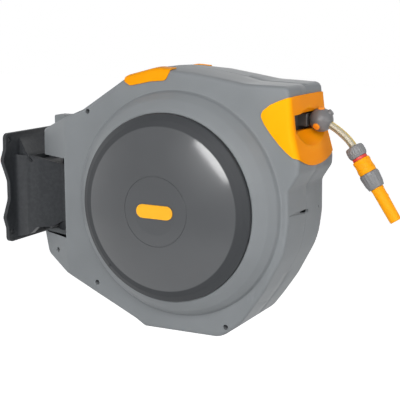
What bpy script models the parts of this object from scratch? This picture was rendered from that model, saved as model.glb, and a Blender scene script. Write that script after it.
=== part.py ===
"""Wall-mounted retractable hose reel, modelled at its real size in metres, +Z up.

The origin lies on the wall plate's back face, midway between its four screws, +X points away from
the wall towards the nose where the hose comes out, and the drum's axle lies along Y.  The reel
swings on a vertical pin in the wall bracket.  Inside two moulded casing halves a spring-driven drum
turns on a fixed axle, and a belt turns the screw that walks the hose guide across the window in the
nose.
"""
import math

import bmesh
import bpy
from mathutils import Matrix, Vector

# Clearances
TOUCH = 0.0003
RUN = 0.0004
SLIDE = 0.0006
LOOSE = 0.0005

# Where the pin and the drum stand, measured from the wall
PIN_X = 0.115
DRUM_X = 0.450

# Wall bracket
PLATE_T = 0.009
PLATE_TOP = 0.1220
PLATE_BOTTOM = -0.1285
PLATE_HALF_W = 0.097
EAR_HALF_W = 0.109
WAIST_HALF_W = 0.088
ARM_HALF_W = 0.034
ARM_ROOT_HALF_W = 0.055
ARM_ROOT_TOP = 0.072
ARM_ROOT_BOTTOM = -0.124
KNUCKLE_TOP = 0.053
KNUCKLE_BOTTOM = -0.080
KNUCKLE_R = 0.034
THRUST_R = 0.016
SWEEP_R = 0.069
WEB_T = 0.006
BRACKET_WALL = 0.005
WALL_HOLE_R = 0.0035
PIN_R = 0.006
PIN_HEAD_R = 0.009
PIN_HEAD_T = 0.004
PIN_TOP = 0.150
PIN_BOTTOM = -0.150

# Casing, measured from the drum's axis
WALL = 0.003
CASE_HALF_W = 0.0945
CROWN = 0.004
NOSE_X = 0.2705
NOSE_TOP = 0.2505
FRONT_X = 0.2490
CROWN_TOP = 0.2775
FOOT_BOTTOM = -0.2745
TAIL_X = -0.371
TAIL_TAPER_X = -0.280
TAIL_TAPER = 0.444
NOSE_DRAW = 0.006
ROOT_R = 0.2310
BOSS_FOOT_R = 0.2355
LIP_R = 0.1968
BOSS_HALF_W = 0.1425
SEAT_Y = 0.1369
SEAT_INNER_R = 0.178
NOTCH_FRONT = -0.284
NOTCH_HIGH = 0.076
NOTCH_LOW = -0.102
CAP_HALF_LENGTH = 0.028
CAP_HALF_W = 0.020
CAP_TOP = 0.162
SLEEVE_WALL_R = 0.0125
BEYOND = 0.300
ROUND_STEPS = 32

# Disc covers
DISC_R = 0.1935
DISC_EDGE = 0.150
PLATEAU_R = 0.168
PLATEAU_Y = 0.162
DOME_RISE = 0.025
COVER_T = 0.0025
INLET_HOLE_R = 0.0160
CENTRE_FLAT_R = 0.048
RING_R = 0.0715
RING_DEPTH = 0.0008
BADGE_LENGTH = 0.087
BADGE_HEIGHT = 0.032
BADGE_T = 0.0025

# Bearing plates behind the covers
WEB_Y = 0.0925
PLATE_RIM_T = 0.0024
HUB_R = 0.024
HUB_INNER_Y = 0.0890
HUB_OUTER_Y = 0.1180

# Drum and what turns it
AXLE_R = 0.012
AXLE_BORE = 0.007
BUSH_R = 0.0155
HUB_BORE = BUSH_R + TOUCH
BARREL_R = 0.095
BARREL_T = 0.003
FLANGE_R = 0.190
FLANGE_T = 0.003
HOSE_SPACE = 0.0755
BUSH_INNER_Y = 0.0665
GEAR_PLANE = HOSE_SPACE + FLANGE_T + TOUCH
GEAR_T = 0.006
RATCHET_R = 0.060
RATCHET_ROOT_R = 0.052
RATCHET_TEETH = 12
PAWL_PIVOT = (-0.0582, 0.0693)
PAWL_TIP = (-0.0054, 0.0617)
PAWL_BOSS_R = 0.007
PAWL_PIN_R = 0.003
SPRING_TURNS = 6
SPRING_STEPS = 12
SPRING_STRIP = 0.0012
SPRING_W = 0.050
SPRING_Y = -0.033
ELBOW_Y = 0.040

# Hose
HOSE_R = 0.008
HOSE_BORE = HOSE_R + LOOSE
HOSE_TOP = 0.177
WIND_R = 0.1605
WIND_PITCH = 0.0166
WIND_LOOPS = math.floor(2 * (HOSE_SPACE - HOSE_R - TOUCH) / WIND_PITCH)
WIND_STEPS = 18

# Guide, window and bezel
GUIDE_Y = 0.036
WINDOW_HALF_W = 0.060
WINDOW_LOW = 0.161
WINDOW_HIGH = 0.195
SHUTTER_X = 0.212
SHUTTER_T = 0.008
SHUTTER_HALF_W = 0.042
SNOUT_X = 0.2407
SNOUT_HALF_W = 0.020
SNOUT_HALF_H = 0.014
SCREW_X = 0.203
SCREW_Z = 0.149
SCREW_R = 0.007
SCREW_END_R = 0.0045
SCREW_END_Y = 0.0900
ROD_Z = 0.2045
ROD_R = 0.004
ROD_END_Y = 0.0880
JOURNAL_R = 0.0085
PULLEY_R = 0.0180
PULLEY_RIM = 0.003
PULLEY_RIM_T = 0.0004
BELT_T = 0.002
BELT_W = 0.0044
TRIM_T = 0.002
TRIM_GAP = 0.0008
BEZEL_HIGH = 0.2325
BEZEL_LOW = 0.089
BEZEL_SIDE_RISE = 0.028
INSET_HALF_W = 0.072
INSET_BACK = 0.228
INSET_LOW = 0.112
INSET_HIGH = 0.220
SCOOP_R = 0.073
SCOOP_X = 0.310
SCOOP_Z = 0.171
SCOOP_HALF_W = 0.068

# Ball stop, connector and nozzle
BALL_X = 0.264
BALL_R = 0.0245
PAD_R = 0.0072
PAD_SINK = 0.003
PAD_PROUD = 0.0017
EXIT_DROOP = math.radians(26.0)
TIP_LEAN = math.radians(33.0)
NUT_START = (0.333, 0.127)
NUT_END = 0.0240
RING_END = 0.0303
SLEEVE_END = 0.0612
COLLAR_END = 0.0955
NOZZLE_END = 0.1720
HOSE_IN_NUT = 0.0380
SLEEVE_SLIDE = 0.0046

# Casing screws, as places seen on the near side, from the drum's axis
SCREW_PLACES = [(-0.202, -0.193), (-0.318, -0.136), (-0.219, 0.183), (0.114, -0.248)]
SCREW_HEAD_R = 0.0042
SCREW_HEAD_T = 0.003
SHANK_R = 0.002
WELL_R = 0.0055
POST_R = 0.0088
WELL_FLOOR = 0.020
SHANK_END = 0.018

COLOURS = {
    "casing_grey": ((0.26, 0.28, 0.29), 0.45, 0.0),
    "disc_grey": ((0.085, 0.095, 0.10), 0.3, 0.0),
    "bracket_grey": ((0.055, 0.065, 0.07), 0.5, 0.0),
    "trim_yellow": ((1.0, 0.50, 0.02), 0.35, 0.0),
    "trim_orange": ((0.90, 0.30, 0.02), 0.35, 0.0),
    "ring_red": ((0.75, 0.06, 0.04), 0.4, 0.0),
    "hose_cream": ((0.55, 0.50, 0.36), 0.5, 0.0),
    "steel": ((0.6, 0.6, 0.6), 0.35, 1.0),
    "brass": ((0.7, 0.5, 0.2), 0.35, 1.0),
    "rubber": ((0.02, 0.02, 0.02), 0.8, 0.0),
    "nylon": ((0.6, 0.6, 0.56), 0.5, 0.0),
}


def new_collection(name):
    made = bpy.data.collections.new(name)
    bpy.context.scene.collection.children.link(made)
    return made


def material_for(name, finish):
    colour, roughness, metallic = COLOURS[finish]
    made = bpy.data.materials.new(name)
    made.use_nodes = True
    shader = made.node_tree.nodes["Principled BSDF"]
    shader.inputs["Base Color"].default_value = (*colour, 1.0)
    shader.inputs["Roughness"].default_value = roughness
    shader.inputs["Metallic"].default_value = metallic
    return made


def place(data, name):
    """Puts new mesh or curve data among the cutters."""
    made = bpy.data.objects.new(name, data)
    CUTTERS.objects.link(made)
    made.hide_render = True
    made.display_type = "WIRE"
    return made


def as_part(piece, finish, pivot):
    """Moves a finished shape from the cutters to the parts and hangs it on its joint's empty."""
    CUTTERS.objects.unlink(piece)
    PARTS.objects.link(piece)
    piece.hide_render = False
    piece.display_type = "TEXTURED"
    piece.data.materials.clear()
    piece.data.materials.append(material_for(piece.name, finish))
    if pivot is not None:
        piece.parent = pivot
        piece.matrix_parent_inverse = Matrix.Translation(pivot.location).inverted()
    return piece


def empty_at(name, where, parent=None):
    made = bpy.data.objects.new(name, None)
    PARTS.objects.link(made)
    made.empty_display_size = 0.02
    made.location = where
    if parent is not None:
        made.parent = parent
        made.matrix_parent_inverse = Matrix.Translation(parent.location).inverted()
    return made


def from_shape(shape, name):
    mesh = bpy.data.meshes.new(name)
    shape.to_mesh(mesh)
    shape.free()
    return place(mesh, name)


def box(name, low, high):
    """An axis-aligned box between two corners."""
    shape = bmesh.new()
    bmesh.ops.create_cube(shape, size=1.0)
    bmesh.ops.scale(shape, vec=Vector(high) - Vector(low), verts=shape.verts)
    bmesh.ops.translate(shape, vec=(Vector(high) + Vector(low)) / 2, verts=shape.verts)
    return from_shape(shape, name)


def rod(name, start, end, radius, sides=16):
    """A round bar between two points."""
    start = Vector(start)
    end = Vector(end)
    along = end - start
    shape = bmesh.new()
    bmesh.ops.create_cone(shape, cap_ends=True, segments=sides, radius1=radius, radius2=radius,
                          depth=along.length)
    turn = along.to_track_quat("Z", "Y").to_matrix().to_4x4()
    bmesh.ops.transform(shape, matrix=Matrix.Translation((start + end) / 2) @ turn, verts=shape.verts)
    return from_shape(shape, name)


def ball(name, centre, radius, sides=24):
    shape = bmesh.new()
    bmesh.ops.create_uvsphere(shape, u_segments=sides, v_segments=sides // 2, radius=radius)
    bmesh.ops.translate(shape, vec=Vector(centre), verts=shape.verts)
    return from_shape(shape, name)


def solid_from(drawn, name, turn=None):
    """A curve's shape as one closed mesh with its faces outwards."""
    bpy.context.view_layer.update()
    evaluated = drawn.evaluated_get(bpy.context.evaluated_depsgraph_get())
    mesh = bpy.data.meshes.new_from_object(evaluated)
    if turn is not None:
        mesh.transform(turn)
    bpy.data.objects.remove(drawn)
    shape = bmesh.new()
    shape.from_mesh(mesh)
    bmesh.ops.remove_doubles(shape, verts=shape.verts, dist=0.00001)
    bmesh.ops.recalc_face_normals(shape, faces=shape.faces)
    bpy.data.meshes.remove(mesh)
    return from_shape(shape, name)


def prism(name, outline, plane, low, high, edge=0.0):
    """A flat outline given a thickness: plane names its two axes, low and high bound the third."""
    curve = bpy.data.curves.new(name + "_outline", "CURVE")
    curve.dimensions = "2D"
    curve.fill_mode = "BOTH"
    curve.extrude = (high - low) / 2 - edge
    curve.bevel_depth = edge
    curve.bevel_resolution = 0
    curve.offset = -edge
    line = curve.splines.new("POLY")
    line.points.add(len(outline) - 1)
    for point, (u, v) in zip(line.points, outline):
        point.co = (u, v, 0.0, 1.0)
    line.use_cyclic_u = True
    middle = (low + high) / 2
    turns = {
        "xz": Matrix.Translation((0, middle, 0)) @ Matrix.Rotation(math.pi / 2, 4, "X"),
        "xy": Matrix.Translation((0, 0, middle)),
        "yz": Matrix.Translation((middle, 0, 0)) @ Matrix.Rotation(math.pi / 2, 4, "Z")
        @ Matrix.Rotation(math.pi / 2, 4, "X"),
    }
    return solid_from(place(curve, name + "_drawn"), name, turns[plane])


def turned(name, profile, centre, axis, steps=32, closed=True):
    """A turned shape: profile is (radius, height) pairs, its outer side running downwards."""
    edges = [(i, i + 1) for i in range(len(profile) - 1)]
    if closed:
        edges.append((len(profile) - 1, 0))
    mesh = bpy.data.meshes.new(name)
    mesh.from_pydata([(r, 0.0, h) for r, h in profile], edges, [])
    made = place(mesh, name)
    screw = made.modifiers.new("Screw", "SCREW")
    screw.axis = "Z"
    screw.angle = 2 * math.pi
    screw.steps = steps
    screw.render_steps = steps
    screw.use_merge_vertices = True
    screw.merge_threshold = 0.00001
    turn = Vector(axis).to_track_quat("Z", "X").to_matrix().to_4x4()
    made.matrix_world = Matrix.Translation(centre) @ turn
    return made


def tube(name, points, radius, resolution):
    """A round tube along a line of points."""
    curve = bpy.data.curves.new(name + "_line", "CURVE")
    curve.dimensions = "3D"
    curve.bevel_depth = radius
    curve.bevel_resolution = resolution
    curve.use_fill_caps = True
    line = curve.splines.new("POLY")
    line.points.add(len(points) - 1)
    for point, where in zip(line.points, points):
        point.co = (*where, 1.0)
    return solid_from(place(curve, name + "_drawn"), name)


def combine(base, other, operation):
    step = base.modifiers.new(other.name, "BOOLEAN")
    step.operation = operation
    step.object = other
    step.solver = "EXACT"
    return base


def cut(base, *others):
    for other in others:
        combine(base, other, "DIFFERENCE")
    return base


def fuse(base, *others):
    for other in others:
        combine(base, other, "UNION")
    return base


def keep_inside(base, *others):
    for other in others:
        combine(base, other, "INTERSECT")
    return base


def soften(piece, width, segments=2):
    step = piece.modifiers.new("Bevel", "BEVEL")
    step.width = width
    step.segments = segments
    step.limit_method = "ANGLE"
    step.angle_limit = math.radians(40)
    return piece


def rounded(corners, step_angle=38.0, longest=0.120):
    """A closed outline from (u, v, fillet radius) corners, with arcs and evenly parted straights."""
    arcs = []
    count = len(corners)
    for i, (u, v, radius) in enumerate(corners):
        here = Vector((u, v))
        before = Vector(corners[i - 1][:2]) - here
        after = Vector(corners[(i + 1) % count][:2]) - here
        bend = math.pi - before.angle(after)
        reach = min(radius * math.tan(bend / 2), before.length * 0.49, after.length * 0.49)
        radius = reach / math.tan(bend / 2)
        start = here + before.normalized() * reach
        end = here + after.normalized() * reach
        middle = (before.normalized() + after.normalized()).normalized()
        centre = here + middle * math.hypot(radius, reach)
        first = math.atan2(start.y - centre.y, start.x - centre.x)
        last = math.atan2(end.y - centre.y, end.x - centre.x)
        swing = (last - first + math.pi) % (2 * math.pi) - math.pi
        pieces = max(1, math.ceil(math.degrees(bend) / step_angle))
        arc = []
        for k in range(pieces + 1):
            angle = first + swing * k / pieces
            arc.append(Vector((centre.x + radius * math.cos(angle), centre.y + radius * math.sin(angle))))
        arcs.append(arc)
    outline = []
    for i, arc in enumerate(arcs):
        outline.extend(tuple(point) for point in arc)
        following = arcs[(i + 1) % count][0]
        gaps = math.ceil((following - arc[-1]).length / longest)
        for k in range(1, gaps):
            outline.append(tuple(arc[-1].lerp(following, k / gaps)))
    return outline


def share(value, start, end):
    """How far value has gone from start to end, held between 0 and 1."""
    return min(1.0, max(0.0, (value - start) / (end - start)))


def casing_outline():
    """The casing's side view from the drum's axis, anticlockwise from the nose's top corner."""
    corners = [
        (0.2430, NOSE_TOP, 0.014),
        (0.1500, NOSE_TOP + 0.0035, 0.100),
        (0.0350, NOSE_TOP + 0.0210, 0.100),
        (-0.0500, CROWN_TOP, 0.070),
        (-0.1180, CROWN_TOP - 0.0175, 0.030),
        (-0.2345, 0.1855, 0.012),
        (TAIL_X + 0.0060, 0.1330, 0.008),
        (TAIL_X, -0.1050, 0.010),
        (TAIL_X + 0.0130, -0.1500, 0.020),
        (-0.1050, -0.2635, 0.016),
        (-0.0830, FOOT_BOTTOM - 0.0020, 0.008),
        (0.1000, FOOT_BOTTOM + 0.0010, 0.050),
        (0.1420, -0.2430, 0.060),
        (0.1660, -0.2110, 0.060),
        (0.1985, -0.1630, 0.100),
        (0.2420, -0.0800, 0.160),
        (FRONT_X + 0.0005, -0.0200, 0.100),
        (FRONT_X - 0.0005, 0.0480, 0.020),
        (NOSE_X - 0.0010, 0.0810, 0.016),
        (NOSE_X, 0.1010, 0.020),
        (0.2525, 0.1650, 0.140),
    ]
    return rounded(corners)


def half_width_at(x, z):
    """How far the casing's flat side stands from the seam: the tail and the nose's top draw in."""
    tail = max(0.0, TAIL_TAPER_X - x) * TAIL_TAPER
    nose = NOSE_DRAW * share(x, 0.17, 0.23) * share(z, 0.12, 0.22)
    return CASE_HALF_W - tail - nose


def outer_section(x, z, grow=0.0):
    """The casing's surface at one place of its outline, from the seam to the foot of the boss."""
    reach = math.hypot(x, z)
    width = half_width_at(x, z)
    crown = CROWN * share(x, 0.15, 0.10) * share(z, -0.25, -0.22)
    edge = reach - 0.009
    bend = ROOT_R + 0.38 * (edge - ROOT_R)
    bend_width = half_width_at(x * bend / reach, z * bend / reach)
    return [
        (reach + crown + grow, 0.0),
        (reach + crown * 0.75 + grow, width * 0.55),
        (reach + grow, width - 0.0085),
        (reach - 0.0030 + grow * 0.7, width - 0.0024 + grow * 0.7),
        (edge, width + grow),
        (bend, bend_width + grow),
        (ROOT_R, CASE_HALF_W + grow),
    ]


def inner_section(x, z):
    """The inside of the same wall, from the foot of the boss back to the seam."""
    outer = outer_section(x, z)
    return [
        (ROOT_R, outer[6][1] - WALL),
        (outer[4][0] - 0.0005, outer[4][1] - WALL),
        (outer[2][0] - WALL, outer[4][1] - 0.0100),
        (outer[1][0] - WALL, outer[1][1]),
        (outer[0][0] - WALL, 0.0),
    ]


def casing_boss(name, side):
    """The round boss on the side wall, up to its lip and down to the disc cover's seat."""
    profile = [
        (DISC_R + SLIDE, BOSS_HALF_W - 0.0004),
        (LIP_R, BOSS_HALF_W),
        (0.2030, BOSS_HALF_W - 0.0050),
        (0.2290, 0.1050),
        (BOSS_FOOT_R, CASE_HALF_W + 0.0020),
        (BOSS_FOOT_R, CASE_HALF_W - 0.0020),
        (0.2267, CASE_HALF_W - 0.0020),
        (0.2267, 0.1031),
        (0.2020, SEAT_Y - WALL),
        (SEAT_INNER_R, SEAT_Y - WALL),
        (SEAT_INNER_R, SEAT_Y),
        (DISC_R + LOOSE, SEAT_Y),
    ]
    return turned(name, profile, at_drum(0, 0, 0), (0, side, 0), ROUND_STEPS)


def rings_of(section, **options):
    """One ring of points for each step of a section, following the casing's outline."""
    columns = []
    for x, z in casing_outline():
        reach = math.hypot(x, z)
        columns.append([(DRUM_X + x * r / reach, y, z * r / reach) for r, y in section(x, z, **options)])
    return [[column[i] for column in columns] for i in range(len(columns[0]))]


def loft(name, rings, ends, turn_over=False):
    """A closed skin over rings of points: ends is 'join' for a hollow ring or 'cap' for a full body."""
    count = len(rings[0])
    shape = bmesh.new()
    rows = [[shape.verts.new(point) for point in ring] for ring in rings]
    pairs = list(zip(rows, rows[1:]))
    if ends == "join":
        pairs.append((rows[-1], rows[0]))
    for first, second in pairs:
        for k in range(count):
            after = (k + 1) % count
            shape.faces.new((first[k], first[after], second[after], second[k]))
    if ends == "cap":
        shape.faces.new(rows[0][::-1])
        shape.faces.new(rows[-1])
    if turn_over:
        bmesh.ops.reverse_faces(shape, faces=shape.faces)
    return from_shape(shape, name)


def mirrored(ring):
    return [(x, -y, z) for x, y, z in ring]


def casing_body(name, grow):
    """The whole casing as a full body, without its bosses, made larger or smaller by grow."""
    rings = rings_of(outer_section, grow=grow)
    end = []
    for x, _, z in rings[0]:
        reach = math.hypot(x - DRUM_X, z)
        end.append((DRUM_X + (x - DRUM_X) * 0.150 / reach, 0.110, z * 0.150 / reach))
    rings.append(end)
    far_to_near = rings[:0:-1] + [mirrored(ring) for ring in rings]
    return loft(name, far_to_near, "cap")


def casing_shell(name, side):
    """One half's moulded wall, from the seam round to the opening under the boss."""
    rings = rings_of(outer_section) + rings_of(inner_section)
    sided = []
    for ring in rings:
        sided.append([(x, side * max(y, TOUCH / 2), z) for x, y, z in ring])
    return loft(name, sided, "join", turn_over=side > 0)


def at_drum(x, y, z):
    return (DRUM_X + x, y, z)


def half_space(name, side):
    """Everything on one side of the seam."""
    ends = sorted((side * TOUCH / 2, side * 0.3))
    return box(name, (-0.1, ends[0], -0.4), (0.9, ends[1], 0.4))


def casing_half(name, side):
    """One moulded half: its wall, the notch for the bracket, pin sleeves, screw posts and journals."""
    wide = 0.2
    front = DRUM_X + NOTCH_FRONT
    frame = box(name + "_frame", (0.02, -wide, NOTCH_LOW - WALL), (front + WALL, wide, NOTCH_HIGH + WALL))
    fuse(frame, rod(name + "_upper_sleeve", (PIN_X, 0, NOTCH_HIGH), (PIN_X, 0, CAP_TOP), SLEEVE_WALL_R))
    fuse(frame, rod(name + "_lower_sleeve", (PIN_X, 0, -0.190), (PIN_X, 0, NOTCH_LOW), SLEEVE_WALL_R))
    for index, (x, z) in enumerate(SCREW_PLACES):
        fuse(frame, rod("%s_post_%d" % (name, index), at_drum(x, -wide, z), at_drum(x, wide, z), POST_R, 8))
    for label, z, inner in (("screw", SCREW_Z, SCREW_END_Y - 0.0028), ("rod", ROD_Z, ROD_END_Y - 0.006)):
        fuse(frame, rod("%s_%s_boss" % (name, label), at_drum(SCREW_X, side * inner, z),
                        at_drum(SCREW_X, side * wide, z), JOURNAL_R, 12))
    keep_inside(frame, casing_body(name + "_body", -WALL / 2), half_space(name + "_half", side))
    shell = casing_shell(name, side)
    fuse(shell, casing_boss(name + "_boss", side), frame)
    cap = box(name + "_cap", (PIN_X - CAP_HALF_LENGTH, -CAP_HALF_W, 0.118),
              (PIN_X + CAP_HALF_LENGTH, CAP_HALF_W, CAP_TOP))
    soften(cap, 0.003)
    keep_inside(cap, half_space(name + "_cap_half", side))
    fuse(shell, cap)
    cut(shell, box(name + "_notch", (-0.1, -wide, NOTCH_LOW), (front, wide, NOTCH_HIGH)))
    cut(shell, rod(name + "_pin_bore", (PIN_X, 0, -0.200), (PIN_X, 0, PIN_TOP + TOUCH), PIN_R + RUN))
    cut(shell, rod(name + "_pin_head_bore", (PIN_X, 0, -0.200), (PIN_X, 0, PIN_BOTTOM + PIN_HEAD_T + TOUCH),
                   PIN_HEAD_R + RUN))
    cut(shell, box(name + "_nose_opening", at_drum(0.215, -INSET_HALF_W - SLIDE, INSET_LOW - SLIDE),
                   at_drum(BEYOND, INSET_HALF_W + SLIDE, INSET_HIGH + SLIDE)))
    journals = (("screw", SCREW_Z, SCREW_END_Y, SCREW_END_R), ("rod", ROD_Z, ROD_END_Y, ROD_R))
    for label, z, end, radius in journals:
        cut(shell, rod("%s_%s_journal" % (name, label), at_drum(SCREW_X, side * 0.07, z),
                       at_drum(SCREW_X, side * (end + TOUCH), z), radius + TOUCH, 12))
    for index, (x, z) in enumerate(SCREW_PLACES):
        cut(shell, rod("%s_pilot_%d" % (name, index), at_drum(x, -WELL_FLOOR - 0.001, z),
                       at_drum(x, WELL_FLOOR + 0.002, z), SHANK_R + TOUCH, 8))
        if side < 0:
            cut(shell, rod("%s_well_%d" % (name, index), at_drum(x, -wide, z),
                           at_drum(x, -WELL_FLOOR, z), WELL_R, 8))
    return as_part(shell, "casing_grey", REEL)


def make_casing_screws():
    head = WELL_FLOOR + TOUCH
    profile = [
        (0.0, head + SCREW_HEAD_T),
        (SCREW_HEAD_R, head + SCREW_HEAD_T - 0.0008),
        (SCREW_HEAD_R, head),
        (SHANK_R, head),
        (SHANK_R, -SHANK_END),
        (0.0, -SHANK_END - 0.0015),
    ]
    for index, (x, z) in enumerate(SCREW_PLACES):
        name = "casing_screw_%d" % (index + 1)
        screw = turned(name, profile, at_drum(x, 0, z), (0, -1, 0), 8, closed=False)
        as_part(screw, "steel", REEL)


def make_bracket():
    """The wall plate with its ears, the arm as an H-section, the knuckle and the wall screw holes."""
    side_corners = [
        (PLATE_HALF_W, PLATE_TOP, 0.012),
        (PLATE_HALF_W + 0.001, 0.086, 0.010),
        (EAR_HALF_W, 0.062, 0.012),
        (WAIST_HALF_W, 0.012, 0.030),
        (WAIST_HALF_W, -0.030, 0.030),
        (EAR_HALF_W - 0.003, -0.070, 0.012),
        (PLATE_HALF_W, -0.096, 0.010),
        (PLATE_HALF_W, PLATE_BOTTOM, 0.012),
    ]
    left = [(-y, z, r) for y, z, r in side_corners]
    outline = rounded(left + side_corners[::-1], 38.0, 1.0)
    plate = prism("wall_bracket", outline, "yz", 0.0, PLATE_T, 0.0012)
    side_view = [
        (0.002, ARM_ROOT_TOP),
        (0.002, ARM_ROOT_BOTTOM),
        (0.030, -0.1165),
        (PIN_X - SWEEP_R, -0.1000),
        (0.086, -0.0960),
        (PIN_X, KNUCKLE_BOTTOM),
        (PIN_X, KNUCKLE_TOP),
    ]
    arm = prism("bracket_arm", side_view, "xz", -0.10, 0.10)
    plan_half = [
        (0.001, ARM_ROOT_HALF_W + 0.010),
        (0.010, ARM_ROOT_HALF_W),
        (0.022, ARM_ROOT_HALF_W - 0.008),
        (0.060, ARM_HALF_W + 0.004),
        (PIN_X + 0.001, ARM_HALF_W),
    ]
    plan = plan_half + [(x, -y) for x, y in plan_half[::-1]]
    keep_inside(arm, prism("bracket_plan", plan, "xy", -0.2, 0.2))
    fuse(plate, arm)
    gusset_view = [(0.002, 0.060), (0.002, PLATE_TOP - 0.004), (0.012, 0.100), (0.024, 0.078)]
    gusset_view.append((0.040, 0.058))
    for side in (-1, 1):
        ends = sorted((side * 0.042, side * 0.048))
        name = "bracket_gusset_left" if side < 0 else "bracket_gusset_right"
        fuse(plate, prism(name, gusset_view, "xz", ends[0], ends[1]))
    fuse(plate, rod("bracket_knuckle", (PIN_X, 0, KNUCKLE_BOTTOM), (PIN_X, 0, KNUCKLE_TOP), KNUCKLE_R, 24))
    fuse(plate, rod("bracket_thrust", (PIN_X, 0, 0.03), (PIN_X, 0, NOTCH_HIGH - TOUCH), THRUST_R, 16))
    pocket_end = PIN_X - KNUCKLE_R
    inside = ARM_HALF_W - BRACKET_WALL
    cut(plate, box("bracket_top_pocket", (PLATE_T + BRACKET_WALL, -inside, 0.030),
                   (pocket_end, inside, 0.1)))
    cut(plate, box("bracket_low_pocket", (PLATE_T + BRACKET_WALL, -inside, -0.2),
                   (pocket_end, inside, 0.030 - WEB_T)))
    cut(plate, rod("bracket_bore", (PIN_X, 0, -0.1), (PIN_X, 0, 0.1), PIN_R + TOUCH))
    for index, (y, z) in enumerate(((-1, -1), (1, -1), (-1, 1), (1, 1))):
        centre = (y * 0.083, z * 0.106)
        cut(plate, rod("wall_hole_%d" % index, (-0.02, *centre), (0.03, *centre), WALL_HOLE_R, 10))
        cut(plate, rod("wall_sink_%d" % index, (PLATE_T - 0.003, *centre), (0.03, *centre),
                       WALL_HOLE_R * 1.9, 10))
    as_part(plate, "bracket_grey", None)
    profile = [
        (0.0, PIN_TOP),
        (PIN_R, PIN_TOP - 0.001),
        (PIN_R, PIN_BOTTOM + PIN_HEAD_T),
        (PIN_HEAD_R, PIN_BOTTOM + PIN_HEAD_T),
        (PIN_HEAD_R, PIN_BOTTOM),
        (0.0, PIN_BOTTOM),
    ]
    pin = turned("hinge_pin", profile, (PIN_X, 0, 0), (0, 0, 1), 16, closed=False)
    as_part(pin, "steel", None)


def dome_y(radius):
    """How far the disc's dome stands from the seam at one radius."""
    return PLATEAU_Y + DOME_RISE * (1 - (radius / PLATEAU_R) ** 2)


def make_disc_cover(name, side, hole):
    """A dished cover: an upright edge, a bevelled band, a shallow dome and one fine ring groove."""
    flat = dome_y(CENTRE_FLAT_R)
    outside = [(CENTRE_FLAT_R, flat)]
    outside.append((RING_R - 0.0012, dome_y(RING_R - 0.0012)))
    outside.append((RING_R, dome_y(RING_R) - RING_DEPTH))
    for radius in (RING_R + 0.0012, 0.120):
        outside.append((radius, dome_y(radius)))
    outside.append((PLATEAU_R, PLATEAU_Y))
    outside.append((0.1810, 0.1580))
    outside.append((DISC_R - 0.0015, DISC_EDGE + 0.0006))
    outside.append((DISC_R, DISC_EDGE - 0.0015))
    rest_y = SEAT_Y + PLATE_RIM_T + 2 * TOUCH
    outside.append((DISC_R, rest_y))
    inside = [(DISC_R - COVER_T, rest_y), (DISC_R - COVER_T, DISC_EDGE - 0.0020)]
    inside.append((PLATEAU_R - 0.0005, PLATEAU_Y - COVER_T))
    for radius in (0.110, CENTRE_FLAT_R):
        inside.append((radius, dome_y(radius) - COVER_T))
    profile = [(hole, flat)] + outside + inside + [(hole, flat - COVER_T)]
    cover = turned(name, profile, at_drum(0, 0, 0), (0, side, 0), ROUND_STEPS, closed=hole > 0)
    as_part(cover, "disc_grey", REEL)


def make_badge():
    """A bare pill-shaped plate with rounded edges, seated on the flat in the middle of the disc."""
    straight = (BADGE_LENGTH - BADGE_HEIGHT) / 2
    outline = []
    for turn in range(2):
        for k in range(13):
            angle = math.pi * (turn + k / 12) - math.pi / 2
            centre = straight if turn == 0 else -straight
            outline.append((DRUM_X + centre + BADGE_HEIGHT / 2 * math.cos(angle),
                            BADGE_HEIGHT / 2 * math.sin(angle)))
    seat = dome_y(CENTRE_FLAT_R) + TOUCH
    badge = prism("badge_plate", outline, "xz", -seat - BADGE_T, -seat, 0.0008)
    as_part(badge, "trim_yellow", REEL)


def make_bearing_plate(name, side):
    """The dished plate that carries the axle; its rim lies on the casing's ring under the cover."""
    rim = SEAT_Y + TOUCH
    profile = [
        (DISC_R - SLIDE, rim + PLATE_RIM_T),
        (DISC_R - SLIDE, rim),
        (0.1695, rim),
        (0.1265, WEB_Y),
        (0.0200, WEB_Y),
        (0.0200, HUB_INNER_Y),
        (AXLE_R + TOUCH, HUB_INNER_Y),
        (AXLE_R + TOUCH, HUB_OUTER_Y),
        (HUB_R, HUB_OUTER_Y),
        (HUB_R, WEB_Y + WALL),
        (0.1250, WEB_Y + WALL),
        (0.1680, rim + PLATE_RIM_T),
    ]
    plate = turned(name, profile, at_drum(0, 0, 0), (0, side, 0), 16)
    if side < 0:
        x, z = PAWL_PIVOT
        cut(plate, rod(name + "_pin_hole", at_drum(x, -0.08, z), at_drum(x, -0.11, z),
                       PAWL_PIN_R + TOUCH, 12))
    as_part(plate, "bracket_grey", REEL)


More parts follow.
